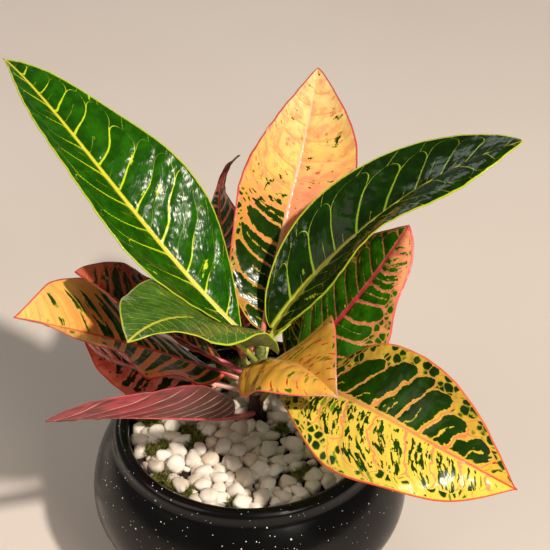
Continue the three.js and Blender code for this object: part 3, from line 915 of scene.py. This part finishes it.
def leafFields(tree, look):
    # what the leaf materials read: where a point is on its blade and among its veins
    phase, across, along = split(storedValue(tree, "leafWay", "Vector"))
    x, y, halfWidth = split(storedValue(tree, "leafFlat", "Vector"))
    seed, spacing = look["seed"], look["spacing"]
    out, fromRib, flat = abs(across), abs(x), joined(x, y)
    offset = (seed * 13.7, seed * 7.1, 0.0)
    side = across.above(0.0) * 31.0 + seed * 3.0
    wander = grain(flat, veins["wanderScale"], 2.0, 0.5, offset) * look["wander"] \
        - look["wander"] / 2
    wandered = phase + wander
    vein = calc("ROUND", wandered)
    beside = abs(wandered - vein)
    cellChance = chance(joined(calc("FLOOR", wandered), side, 8.0))
    # past its fork each lateral bends round to meet its neighbour in an arch
    forkAt = cellChance[0] * veins["forkSpread"] + (look["forkAt"] - veins["forkSpread"] / 2)
    past = calc("DIVIDE", out - forkAt, look["forkTo"] - look["forkAt"], clamp=True)
    spread = veins["arch"] - calc("SQRT", 1.0 - past * past) * veins["arch"]
    # a short streak runs into some of the cells between two laterals
    reach = cellChance[1] * veins["streakReach"]
    return {
        "along": along, "halfWidth": halfWidth, "out": out, "fromRib": fromRib, "flat": flat,
        "offset": offset, "isRight": across.rise(-0.02, 0.02),
        # across the veins in the first direction, along them in the second
        "veinSpace": joined(phase * spacing, fromRib / look["streak"], side),
        "veinChance": chance(joined(vein, side, 3.0)),
        "straightGap": beside * spacing,
        "gap": abs(beside - spread) * spacing,
        "outer": calc("MAXIMUM", spread.above(beside), past.above(0.999)),
        "inner": (0.5 - beside) * spacing
        + out.rise(reach, reach + veins["streakEnd"]) * veins["streakShut"],
    }


def alongLeaf(fields, ramps):
    # a ramp along the leaf, or a pair of them for its left and its right half
    if not isinstance(ramps, tuple):
        return colorRamp(fields["along"], ramps)
    left, right = (colorRamp(fields["along"], ramp) for ramp in ramps)
    return blendColor(fields["isRight"], left, right)


def topMaterial(name, look):
    material, tree, shader = newMaterial(name + "_top", Specular_IOR_Level=look["specular"])
    fields = leafFields(tree, look)
    along, out, flat, veinSpace, offset = (
        fields[key] for key in ("along", "out", "flat", "veinSpace", "offset"))
    ragged = grain(flat, look["raggedScale"], 4.0, 0.68, offset) - 0.5
    breaks = grain(veinSpace, look["breakScale"], 3.0, 0.65, offset) - 0.5
    # how wide the pale bands along the veins are, in millimetres; wide bands leave no green
    bandLeast, bandVary = veins["bandVary"]
    band = alongLeaf(fields, look["band"]) * 10.0 \
        * (fields["veinChance"][0] * bandVary + bandLeast)
    # bands spread beside the midrib and along the margin
    toMargin = (1.0 - out) * fields["halfWidth"]
    beyond = least(fields["gap"] - band, fields["fromRib"] - look["ribBand"],
                   toMargin - look["edgeBand"])
    inside = least(beyond, fields["inner"] - look["innerBand"], look["patchDepth"])
    # between the arches and the margin the green sits in a chain of small round cells
    island, islandBand = look["island"], look["islandBand"]
    toEdge = cellEdges(flat, 1 / island, veins["islandRandom"])
    toMiddle = cells(flat, 1 / island, veins["islandRandom"])[0]
    roundTo = island * veins["islandRound"] + veins["islandMargin"] - islandBand
    beyond = least(beyond, toEdge * island - islandBand, roundTo - toMiddle * island)
    beyond = beyond + ragged * look["islandRagged"]
    # where the green gives out it is left as islands in a net of small cells
    net = look["netCell"]
    loss = alongLeaf(fields, look["loss"])
    lossLeast, lossVary = veins["lossRange"]
    eaten = loss * (cells(veinSpace, 1 / net)[1][0] * (net * lossVary) + net * lossLeast)
    room = cellEdges(veinSpace, 1 / net) * net - eaten + calc("LESS_THAN", loss, 0.02) * 20.0
    mottle = grain(veinSpace, look["mottleScale"], 3.0, 0.6, offset) - 0.5
    mottle = (mottle * veins["mottleReach"] - look["mottleLean"]) \
        * alongLeaf(fields, look["mottle"])
    inside = least(inside, room) + (ragged * look["ragged"] + breaks * look["breaks"] + mottle)
    beyond = beyond + (alongLeaf(fields, look["islandKept"]) * 4.0 - 4.0)
    inside = (beyond - inside) * fields["outer"] + inside
    green = inside.rise(-look["soft"], look["soft"])
    ground = alongLeaf(fields, look["ground"])
    blush = grain(veinSpace, 0.16, 4.0, 0.65, offset).rise(0.45, 0.62) * look["blush"]
    ground = blendColor(blush, ground, look["blushColor"])
    # laterals thin out as they run, and some are fainter and shorter than others
    length = fields["veinChance"][1] * look["veinVary"] + (look["veinReach"] - look["veinVary"] / 2)
    run = out / length
    width = (veins["veinStart"] - run * veins["veinNarrow"]) * look["veinWidth"]
    width = calc("MAXIMUM", width, veins["veinLeast"] * look["veinWidth"])
    frayed = ragged * look["veinRagged"] + fields["gap"]
    core = (frayed / width).fall(0.4, 1.1) * (breaks * 0.35 + run).fall(0.9, 1.12)
    onLeft = look["vein"] * look["leftVein"]
    core = core * (fields["isRight"] * (look["vein"] - onLeft) + onLeft)
    deepGreen = blendColor(grain(flat, 0.09, 3.0, 0.6, offset).rise(0.35, 0.7), look["green"],
                           look["greenPale"])
    color = blendColor(green, ground, deepGreen)
    # a yellow-green fringe joins each green patch to the pale band round it
    fringe = 1.0 - abs(green * 2.0 - 1.0)
    color = blendColor(fringe * look["fringe"], color, look["fringeColor"])
    color = blendColor(core, color, look["veinColor"])
    for scale, size, share, tone, inGreen in look["flecks"]:
        toFleck, lot = cells(veinSpace, scale)
        spot = (ragged * 0.4 + toFleck) / (lot[1] * size + size * 0.4)
        spot = spot.fall(0.6, 1.0) * lot[0].above(1 - share)
        color = blendColor(spot * (green if inGreen else 1.0 - green), color, tone)
    # the midrib narrows to the tip, and may have a fine dark line down its middle
    rib = along * (-look["ribWidth"] * 0.52) + look["ribWidth"] * 0.72
    onRib = ((ragged * 0.8 + fields["fromRib"]) / rib).fall(0.55, 1.0)
    color = blendColor(onRib, color, colorRamp(along, look["rib"]))
    line = (fields["fromRib"] / rib).fall(0.12, 0.34)
    color = blendColor(line * look["ribLine"], color, look["ribLineColor"])
    onEdge = (toMargin + ragged).fall(look["edgeWidth"] * 0.5, look["edgeWidth"])
    color = blendColor(onEdge * 0.92, color, alongLeaf(fields, look["edge"]))
    plug(shader.inputs["Base Color"], color)
    fine = grain(veinSpace, 0.5, 1.5, 0.5, offset)
    pucker = grain(flat, 0.13, 1.0, 0.5, offset)
    plug(shader.inputs["Roughness"], fine * 0.16 + (look["roughness"] - 0.08))
    addBump(shader, pucker * 1.6 + fine * 0.3, 0.5, 0.0011)
    return material


def underMaterial(name, look):
    material, tree, shader = newMaterial(name + "_under", Roughness=0.42)
    fields = leafFields(tree, look)
    cloud = grain(fields["veinSpace"], 0.2, 3.0, 0.6, fields["offset"]).rise(0.42, 0.62)
    color = blendColor(cloud * look["underPatch"], colorRamp(fields["along"], look["under"]),
                       look["underDark"])
    line = fields["straightGap"].fall(0.2, 0.8) * fields["out"].fall(0.75, 1.0)
    fine = grain(fields["flat"], 1.4, 3.0, 0.6, fields["offset"])
    for amount in (line * 0.8, fine * 0.12):
        color = blendColor(amount, color, look["underVein"])
    plug(shader.inputs["Base Color"], color)
    addBump(shader, line + fine * 0.5, 0.5, 0.0005)
    return material


def ribMaterial(name, look):
    material, tree, shader = newMaterial(name + "_rib", Roughness=0.36)
    along = split(storedValue(tree, "leafWay", "Vector"))[2]
    speck = grain(objectPlace(tree), 700, 3.0, 0.6)
    color = blendColor(along.fall(-0.08, 0.0), colorRamp(along, look["rib"]), look["stalk"])
    color = blendColor(speck.rise(0.5, 0.75) * 0.35, color, look["veinColor"])
    plug(shader.inputs["Base Color"], color)
    addBump(shader, speck, 0.25, 0.0005)
    return material


# what every leaf starts from, in millimetres and degrees, as the CAD leaves have them; a pair of
# values is for the left and the right half
plainShape = {
    "petiole": 24, "bendAt": 1.3, "sweepAt": 0.6, "roll": 0, "twist": 0, "widest": 0.46,
    "basePower": 0.8, "tipPower": 1, "fold": (14, 14), "tipFold": (10, 10), "curl": (0, 0),
    "wave": (2.5, 2.5), "waves": 2.4,
}
leafShapes = {
    "leaf_upper_left": {
        "height": 146, "azimuth": 174.5, "lift": 44.5, "droop": 48, "bendAt": 2.5, "sweep": -52,
        "roll": 1, "twist": -4, "petiole": 10, "length": 248, "width": 88, "widest": 0.34,
        "basePower": 0.9, "tipPower": 1.1, "fold": (24, 18), "tipFold": (34, 14), "curl": (0, 10),
        "wave": (2, 2.5), "waves": 2.1, "wavePhase": 50},
    "leaf_upright": {
        "height": 149, "azimuth": 84, "lift": 30.5, "droop": -38, "bendAt": 2.4, "sweep": -16,
        "roll": -36, "petiole": 4, "length": 179, "width": 82, "widest": 0.58, "basePower": 0.5,
        "tipPower": 0.7, "fold": (-22, -20), "tipFold": (38, 44), "curl": (15, 25),
        "wave": (-3, 3), "waves": 2.7, "wavePhase": -50},
    "leaf_upper_right": {
        "height": 144, "azimuth": 48, "lift": 45.5, "droop": 21, "bendAt": 2.5, "sweep": -60,
        "roll": 4, "twist": 32, "petiole": 9, "length": 194, "width": 80, "widest": 0.58,
        "basePower": 0.5, "tipPower": 0.7, "fold": (42, 48), "tipFold": (10, -10),
        "curl": (45, -40), "wave": (-1, 4.5), "waves": 1.5, "wavePhase": 100},
    "leaf_mid_right": {
        "height": 112, "azimuth": -4, "lift": 41.5, "droop": -18, "bendAt": 0.6, "sweep": 22,
        "roll": -2, "twist": 8, "petiole": 25, "length": 117, "width": 79, "widest": 0.42,
        "tipPower": 0.9, "fold": (10, 6), "tipFold": (10, -14), "curl": (5, -25), "wave": (2, 4.5),
        "waves": 1.9, "wavePhase": -100},
    "leaf_lower_right": {
        "height": 107, "azimuth": -57, "lift": 61.5, "droop": 97, "bendAt": 0.9, "sweep": 60,
        "sweepAt": 2.7, "roll": 12, "twist": -30, "petiole": 31, "length": 185, "width": 82,
        "widest": 0.56, "basePower": 1.1, "tipPower": 1.1, "fold": (-8, -4), "tipFold": (52, -6),
        "curl": (35, -20), "wave": (1.5, 4.5), "waves": 2.6, "wavePhase": 100},
    "leaf_front_orange": {
        "height": 126, "azimuth": -79.5, "lift": 53, "droop": 71, "bendAt": 1.9, "sweep": 30,
        "sweepAt": 1, "roll": 14, "twist": -68, "petiole": 28, "length": 90, "width": 71,
        "widest": 0.48, "basePower": 1.2, "tipPower": 1.2, "fold": (20, 6), "tipFold": (2, 74),
        "curl": (0, -65), "wave": (-1, 4.5), "waves": 2.2, "wavePhase": -160},
    "leaf_front_left": {
        "height": 137, "azimuth": -123.5, "lift": 56.5, "droop": 48, "bendAt": 1.6, "sweep": 12,
        "sweepAt": 2.2, "roll": -7, "twist": -12, "petiole": 20, "length": 147, "width": 88,
        "widest": 0.38, "basePower": 0.9, "fold": (8, 22), "tipFold": (-18, 8), "curl": (-15, 15),
        "wave": (4.5, 2.5), "wavePhase": 50},
    "leaf_left": {
        "height": 116, "azimuth": 173, "lift": 20.5, "droop": -16, "bendAt": 1.1, "sweep": 49,
        "sweepAt": 1.2, "roll": -34, "twist": 90, "petiole": 16, "length": 146, "width": 89,
        "widest": 0.56, "basePower": 0.6, "fold": (-30, -2), "tipFold": (72, 12),
        "curl": (10, -20), "wave": (4.5, 4.5), "waves": 2.7, "wavePhase": -160},
    "leaf_left_back": {
        "height": 121, "azimuth": 175.5, "lift": 30.5, "droop": -11, "bendAt": 1.2, "sweep": 1,
        "sweepAt": 1.3, "roll": -16, "twist": 6, "petiole": 20, "length": 108, "width": 74,
        "widest": 0.5, "tipPower": 0.7, "fold": (12, 4), "tipFold": (18, 24), "curl": (10, 5),
        "wave": (1.5, 1.5), "waves": 2.5, "wavePhase": 20},
    "leaf_lower_left": {
        "height": 106, "azimuth": 157.5, "lift": 8, "droop": -60, "bendAt": 2.4, "sweep": 43,
        "roll": 6, "twist": 6, "petiole": 20, "length": 99, "width": 67, "widest": 0.44,
        "fold": (8, -16), "tipFold": (6, -16), "curl": (-10, 0), "wave": (2, 1), "waves": 2.1,
        "wavePhase": -30},
    "leaf_low_front": {
        "height": 96, "azimuth": -103.5, "lift": 33, "droop": 27, "bendAt": 2.5, "sweep": -60,
        "roll": 3, "twist": 18, "petiole": 32, "length": 132, "width": 67, "widest": 0.54,
        "basePower": 0.7, "tipPower": 0.7, "fold": (56, -12), "tipFold": (66, -50),
        "curl": (30, -30), "wave": (1.5, 0.5), "wavePhase": 60},
    "leaf_back_narrow": {
        "height": 126, "azimuth": 109.5, "lift": 39.5, "droop": 31, "bendAt": 1.6, "sweep": -58,
        "sweepAt": 3.3, "roll": -17, "twist": 42, "petiole": 13, "length": 149, "width": 46,
        "widest": 0.36, "tipPower": 2.4, "fold": (6, 14), "tipFold": (2, 44), "curl": (-20, 20),
        "wave": (4.5, -3), "waves": 2.8, "wavePhase": -90},
    "leaf_rear_right": {
        "height": 109, "azimuth": 46, "lift": 22, "droop": 20, "sweep": 8, "sweepAt": 1,
        "length": 122, "width": 66, "wavePhase": 20},
    "leaf_rear": {
        "height": 116, "azimuth": 76, "lift": 34, "droop": 40, "sweep": 0, "sweepAt": 1,
        "length": 138, "width": 64, "wavePhase": 80},
    "leaf_rear_left": {
        "height": 112, "azimuth": 112, "lift": 22, "droop": 18, "sweep": 14, "sweepAt": 1,
        "length": 122, "width": 60, "wavePhase": 140},
}

# the colours every leaf starts from; a pair of ramps is for the left and the right half, the
# band ramps are in hundredths of a metre, and each kind of fleck has its cells in a millimetre,
# size, share of the cells, colour, and whether it lies on the green
plainLook = {
    "seed": 1, "spacing": 13.0, "lean": 0.45, "wander": 0.12, "streak": 1.6, "forkAt": 0.66,
    "forkTo": 0.86, "raggedScale": 0.45, "ragged": 1.6, "breakScale": 0.2, "breaks": 1.6,
    "soft": 0.35, "ribBand": 1, "edgeBand": 0.8, "innerBand": 0, "netCell": 6.0, "island": 5.0,
    "islandBand": 0.5, "islandRagged": 1, "patchDepth": 6.0, "islandKept": 1, "mottleScale": 0.34,
    "mottleLean": 1.2, "mottle": 0, "ribLine": 0, "ribLineColor": "c04048", "loss": 0,
    "ribWidth": 3.0, "vein": 0.95, "veinWidth": 0.8, "veinReach": 0.8, "veinVary": 0.3,
    "veinRagged": 0.8, "leftVein": 1, "band": 0.03, "ground": "c8c83c", "blush": 0,
    "blushColor": "d86a50", "green": "16380a", "greenPale": "28560f", "fringe": 0.35,
    "fringeColor": "8fae22", "veinColor": "cfd046", "flecks": [],
    "rib": [(0, "d6cf50"), (1, "cdc93c")], "edgeWidth": 1.1, "edge": "b9c634", "roughness": 0.22,
    "specular": 0.3, "stalk": "9aa84e", "under": [(0, "7f9a4c"), (1, "8fa552")], "underPatch": 0.6,
    "underDark": "4f7330", "underVein": "c4c870",
}
# leaves with clean veins on plain green
cleanGreen = {
    "band": 0, "ragged": 0.6, "breaks": 0.6, "ribBand": 0.2, "edgeBand": 0.2, "islandBand": -9.0,
    "wander": 0.05,
}
leafLooks = {
    "leaf_upper_left": {**cleanGreen,
        "seed": 1, "spacing": 21.0, "lean": 0.6, "ribWidth": 4.2, "veinWidth": 1,
        "veinReach": 0.66, "veinVary": 0.55, "green": "174602", "greenPale": "266204",
        "veinColor": "c8dc26", "specular": 0.15,
        "rib": [(0, "ddd873"), (0.3, "d6d040"), (1, "d0ca30")],
        "flecks": [(0.06, 0.16, 0.5, "c4d42c", True), (0.12, 0.12, 0.3, "a4c42a", True)]},
    "leaf_upright": {
        "seed": 2, "spacing": 14.0, "lean": 0.12, "forkAt": 0.62,
        # the pale bands are kept narrow at the base, part of the painted shade there
        "band": ([(0, 0.04), (0.35, 0.09), (0.5, 0.12), (1, 0.14)],
                 [(0, 0.03), (0.4, 0.09), (1, 0.16)]),
        "loss": ([(0, 0), (0.45, 0), (0.47, 0.25), (0.58, 0.7), (0.7, 1.3)],
                 [(0, 0), (0.28, 0), (0.3, 0.3), (0.5, 0.9), (0.7, 1.3)]),
        "mottle": ([(0, 0.05), (0.3, 0.15), (0.5, 0.35), (0.6, 0.4)],
                   [(0, 0), (0.3, 0.2), (1, 0.5)]),
        # the ground darkens towards the base: painted shade where the leaf lies in the shade of its
        # neighbours
        "ground": ([(0, "9c7a2c"), (0.3, "c48c34"), (0.45, "e89a50"), (0.6, "f2cc6c"),
                   (1, "f4e0a4")],
                   [(0, "9c7a2c"), (0.4, "e08458"), (0.55, "ec9c6c"), (0.72, "f2cc70"),
                   (1, "f4e0a4")]),
        "blush": 0.5, "blushColor": "ec7c68", "ragged": 3.0, "breaks": 2.0, "ribWidth": 2.6,
        "raggedScale": 0.6, "veinColor": "e8905c", "vein": 0.6, "veinReach": 0.9, "netCell": 5.5,
        "green": "122c02", "greenPale": "1e4004", "fringe": 0.7, "fringeColor": "b4c02a",
        "specular": 0.22,
        "islandKept": ([(0, 1), (0.45, 1), (0.6, 0.6), (0.7, 0)],
                       [(0, 1), (0.4, 1), (0.55, 0.6), (0.65, 0)]),
        "rib": [(0, "de6a66"), (0.12, "e0c07c"), (0.5, "f0a890"), (1, "f4c8a8")],
        "flecks": [(0.16, 0.28, 0.24, "e4584c", False), (0.3, 0.3, 0.3, "ec8468", False),
                   (0.2, 0.12, 0.1, "a8321c", True)],
        "edge": ([(0, "d8a040"), (0.3, "dd5a52"), (0.6, "c4283c"), (1, "b82844")],
                 [(0, "d8a040"), (0.3, "dd4a48"), (0.6, "c4283c"), (1, "b82844")]),
        "edgeWidth": 1.4, "under": [(0, "b0603c"), (1, "d8a060")], "underDark": "7c4a2c",
        "underVein": "e0b080"},
    "leaf_upper_right": {**cleanGreen,
        "seed": 3, "spacing": 20.0, "lean": 0.55, "ribWidth": 7.0, "veinReach": 0.7,
        "veinWidth": 0.9, "green": "0e2402", "greenPale": "163604", "veinColor": "8aa62a",
        "roughness": 0.17, "specular": 0.18,
        "rib": [(0, "b8c040"), (0.4, "dcd450"), (1, "dcd850")],
        "flecks": [(0.06, 0.14, 0.45, "a9b830", True), (0.12, 0.12, 0.25, "7c9420", True)]},
    "leaf_mid_right": {
        "seed": 4, "lean": 0.42, "forkAt": 0.64, "island": 4.5,
        "band": ([(0, 0), (0.6, 0.02), (1, 0.08)], [(0, 0.06), (0.5, 0.08), (1, 0.12)]),
        "ribWidth": 5.0, "loss": (0, [(0, 0), (0.72, 0), (0.74, 0.1), (1, 0.8)]),
        "mottle": (0, [(0, 0), (0.5, 0.06), (1, 0.3)]), "forkTo": 0.8,
        "ground": ([(0, "b8884c"), (1, "e09060")],
                   [(0, "e8b850"), (0.5, "f0b064"), (1, "f49a74")]),
        "blush": 0.5, "blushColor": "f07c68", "ragged": 2.8, "breaks": 1.4, "raggedScale": 0.6,
        "edgeBand": 1.4, "ribBand": 1.4, "green": "1f5405", "greenPale": "367808",
        "veinColor": "f47c70", "netCell": 5.0, "fringe": 0.5, "fringeColor": "b0a83a",
        "leftVein": 0.3, "veinRagged": 1.2, "islandBand": 0.2,
        "rib": [(0, "e8384c"), (0.5, "f04860"), (1, "f46870")],
        "edge": ([(0, "a9b834"), (0.6, "b8c23c"), (0.85, "e0706c"), (1, "e0606a")],
                 [(0, "e0606a"), (1, "e2565e")]),
        "edgeWidth": 1.5, "flecks": [(0.26, 0.2, 0.3, "d8c04c", True)]},
    "leaf_lower_right": {
        "seed": 5, "spacing": 17.5, "lean": 0.42, "wander": 0.5, "forkAt": 0.58, "forkTo": 0.76,
        "island": 5.6, "islandBand": 0.1, "islandRagged": 1.2, "patchDepth": 2.5, "specular": 0.2,
        "islandKept": (1, [(0, 1), (0.5, 0.9), (1, 0.8)]),
        "band": ([(0, 0.06), (0.35, 0.08), (0.7, 0.1), (1, 0.2)], [(0, 0.12), (1, 0.14)]),
        "loss": ([(0, 0), (0.86, 0), (0.88, 0.1), (1, 0.9)], 0),
        "mottle": ([(0, 0), (0.6, 0.08), (1, 0.25)], [(0, 0.25), (0.3, 0.6), (1, 0.9)]),
        "mottleScale": 0.46, "mottleLean": 3.2,
        "ground": ([(0, "dcb03c"), (0.5, "e4bc44"), (1, "eac040")],
                   [(0, "d8b43c"), (0.4, "e6c84c"), (1, "e8ca4e")]),
        "blush": 0.2, "blushColor": "e8a85c", "ragged": 2.8, "breaks": 1.4, "streak": 2.6,
        "raggedScale": 0.6, "roughness": 0.24, "edgeBand": 1, "ribBand": 1.8, "ribWidth": 3.6,
        "veinColor": "e88c5c", "veinWidth": 0.95, "veinReach": 0.95, "green": "163202",
        "greenPale": "1f4604", "innerBand": 0.12, "fringe": 0.6, "fringeColor": "b0bc2c",
        "rib": [(0, "c8683c"), (0.35, "d8965c"), (0.6, "dca858"), (0.85, "d8704c"), (1, "d8503c")],
        "ribLine": 0.8, "ribLineColor": "b8402c",
        "flecks": [(0.2, 0.3, 0.35, "6a8a1c", False), (0.22, 0.2, 0.08, "c4502c", False),
                   (0.26, 0.16, 0.14, "c8c03c", True)],
        "edge": ([(0, "d8a040"), (0.4, "e07850"), (1, "e0503c")],
                 [(0, "e07040"), (0.5, "e0553c"), (1, "e0483c")]),
        "edgeWidth": 1.3, "stalk": "8c7a38"},
    "leaf_front_orange": {
        "seed": 6, "spacing": 11.0, "band": [(0, 0.1), (1, 0.2)],
        "loss": ([(0, 0.4), (0.25, 0.7), (0.5, 1.1), (1, 1.4)],
                 [(0, 0.3), (0.25, 0.6), (0.5, 1), (1, 1.4)]),
        "ground": ([(0, "cc9630"), (1, "d6a23e")], [(0, "cc9630"), (1, "dcaa46")]), "blush": 0.3,
        "blushColor": "cf7a38", "streak": 3.0, "ragged": 2.0, "breaks": 3.0, "veinColor": "d8964a",
        "vein": 0.35, "ribWidth": 2.0, "netCell": 4.5, "green": "3c5410", "greenPale": "58681a",
        "rib": [(0, "d89a48"), (0.9, "dca050"), (1, "f0d8c0")],
        "flecks": [(0.5, 0.36, 0.5, "b4401c", False), (0.3, 0.3, 0.25, "b8502a", False),
                   (0.24, 0.3, 0.14, "7c7a20", False)],
        "edge": ([(0, "d86048"), (0.8, "e0605c"), (1, "f0c0b0")],
                 [(0, "e0604c"), (0.8, "e0605c"), (1, "f0c0b0")]),
        "stalk": "b87a4c"},
    "leaf_front_left": {**cleanGreen,
        "seed": 7, "spacing": 9.0, "lean": 0.6, "ribWidth": 4.4, "veinWidth": 0.5,
        "green": "385a18", "greenPale": "4e7624", "specular": 0.55, "veinColor": "a8c03c",
        "veinVary": 0.5, "vein": 0.75, "rib": [(0, "c4c844"), (0.3, "dcd450"), (1, "dcd850")],
        "flecks": [(0.085, 0.08, 0.2, "b0bc3c", True)]},
    "leaf_left": {
        "seed": 8, "spacing": 11.0, "streak": 3.2,
        "band": ([(0, 0.14), (0.25, 0.18), (0.4, 0.26), (0.6, 0.3), (1, 0.3)],
                 [(0, 0.08), (0.3, 0.12), (0.6, 0.2), (1, 0.3)]),
        "loss": [(0, 0), (0.54, 0), (0.56, 0.15), (0.78, 0.8), (0.86, 1.4)],
        "islandKept": [(0, 1), (0.6, 0.8), (0.8, 0)],
        "ground": ([(0, "e8704c"), (0.35, "fa8a58"), (0.6, "f89c5c"), (0.75, "f4cc6c"),
                   (1, "f8de8c")],
                   [(0, "d0604a"), (0.35, "e07c50"), (0.6, "e8944c"), (0.75, "ecbc5c"),
                   (1, "f0d27c")]),
        "blush": 0.25, "blushColor": "e8745c", "ragged": 1.8, "breaks": 2.2, "edgeBand": 1.6,
        "green": "163408", "greenPale": "2a500e", "veinColor": "ec7050", "netCell": 5.0,
        "vein": 0.4, "specular": 0.07, "roughness": 0.32,
        "rib": [(0, "a8283c"), (0.5, "d04a44"), (1, "e08a4c")],
        "edge": [(0, "d03040"), (1, "dc3c44")], "edgeWidth": 1.6, "stalk": "e0b08c",
        "under": [(0, "c0506a"), (1, "e88a80")], "underDark": "a04058", "underVein": "f0b0a8"},
    "leaf_left_back": {
        "seed": 9, "spacing": 10.5, "band": [(0, 0.12), (0.7, 0.15), (1, 0.2)],
        "loss": [(0, 0), (0.8, 0), (0.82, 0.2), (1, 0.9)], "mottle": [(0, 0.1), (1, 0.3)],
        "ground": [(0, "983c24"), (0.7, "ac4a30"), (1, "bc6244")], "blush": 0.6,
        "blushColor": "a43428", "ragged": 2.0, "breaks": 2.0, "green": "12260a",
        "greenPale": "1c380e", "fringe": 0.1, "veinColor": "c86448",
        "rib": [(0, "e0707c"), (0.5, "b04444"), (1, "a04a3c")],
        "edge": [(0, "a03030"), (1, "a03838")], "stalk": "c04860"},
    "leaf_lower_left": {
        "seed": 10, "spacing": 12.0, "band": [(0, 0.16), (0.6, 0.22), (1, 0.28)],
        "loss": [(0, 0), (0.7, 0), (0.72, 0.3), (1, 1.1)], "mottle": [(0, 0.2), (1, 0.4)],
        "ground": [(0, "f0a890"), (0.5, "f09c80"), (1, "ec8c64")], "blush": 0.6,
        "blushColor": "e0684c", "ragged": 2.0, "breaks": 2.0, "green": "142c0a",
        "greenPale": "203e10", "fringe": 0.1, "veinColor": "e88468", "ribWidth": 5.0,
        "rib": [(0, "f8c4b0"), (1, "f0a890")], "edge": [(0, "c83c38"), (1, "c8443c")],
        "stalk": "e0b0a0"},
    "leaf_low_front": {
        "seed": 11, "band": [(0, 0.1), (1, 0.3)], "ground": [(0, "c0705c"), (1, "b84c50")],
        "blush": 0.4, "blushColor": "b8404c", "green": "2a2c10", "greenPale": "3a3a18",
        "rib": [(0, "b8404c"), (1, "c05c60")], "edge": [(0, "b03c44"), (1, "b84a50")],
        "stalk": "c85060",
        "under": [(0, "1e1806"), (0.34, "3a1c0a"), (0.5, "8a2834"), (0.75, "b03440"),
                  (1, "a03438")],
        "lean": -1.4, "underPatch": 0.8, "underDark": "44180f", "underVein": "f6b4ac"},
    "leaf_back_narrow": {
        "seed": 12, "spacing": 9.0, "band": [(0, 0.08), (0.7, 0.1), (1, 0.3)], "islandBand": 0.6,
        "loss": [(0, 0), (0.75, 0), (0.77, 0.2), (1, 0.9)],
        "ground": [(0, "fc9468"), (0.6, "fc8a60"), (1, "f07060")], "blush": 0.5,
        "blushColor": "f05c58", "streak": 2.4, "green": "1e480e", "greenPale": "2c5c14",
        "fringe": 0.1, "veinColor": "fc9c84", "ribWidth": 2.2,
        "rib": [(0, "c8584c"), (1, "b04a50")], "edge": [(0, "b83c44"), (1, "a84048")]},
    "leaf_rear_right": {
        "seed": 13, "band": ([(0, 0.08), (1, 0.2)], [(0, 0.1), (1, 0.2)]),
        "loss": ([(0, 0), (0.6, 0.3), (1, 1)], 0), "ground": [(0, "d0a048"), (1, "e0b04c")],
        "ragged": 2.0, "breaks": 2.0, "edge": [(0, "d86c50"), (1, "d85c4c")]},
    "leaf_rear": {
        "seed": 14, "spacing": 18.0, "lean": 0.55, "veinReach": 0.66, "islandBand": -9.0},
    "leaf_rear_left": {
        "seed": 15, "band": [(0, 0.12), (1, 0.3)], "loss": (0, [(0, 0), (0.6, 0.4), (1, 1)]),
        "ground": [(0, "b85a3c"), (1, "d07c48")], "ragged": 2.0, "breaks": 2.0, "blush": 0.4,
        "veinColor": "d0704c", "rib": [(0, "c04c44"), (1, "c86050")], "edge": "c04840"},
}
leafSlots = {
    "leaf_green": ["leaf_upper_left", "leaf_upper_right", "leaf_mid_right", "leaf_front_left",
                   "leaf_rear", "leaf_rear_right"],
    "leaf_gold": ["leaf_upright", "leaf_front_orange", "leaf_lower_right"],
    "leaf_red": ["leaf_left", "leaf_left_back", "leaf_lower_left", "leaf_low_front",
                 "leaf_back_narrow", "leaf_rear_left"],
}

for slotName, leafNames in leafSlots.items():
    for leafName in leafNames:
        leaf = leafPiece("croton_" + leafName, {**plainShape, **leafShapes[leafName]},
                         {**plainLook, **leafLooks[leafName]})
        dress(leaf, slotName, leafName)
        print(leafName, len(leaf.data.polygons), "faces")

print("done")
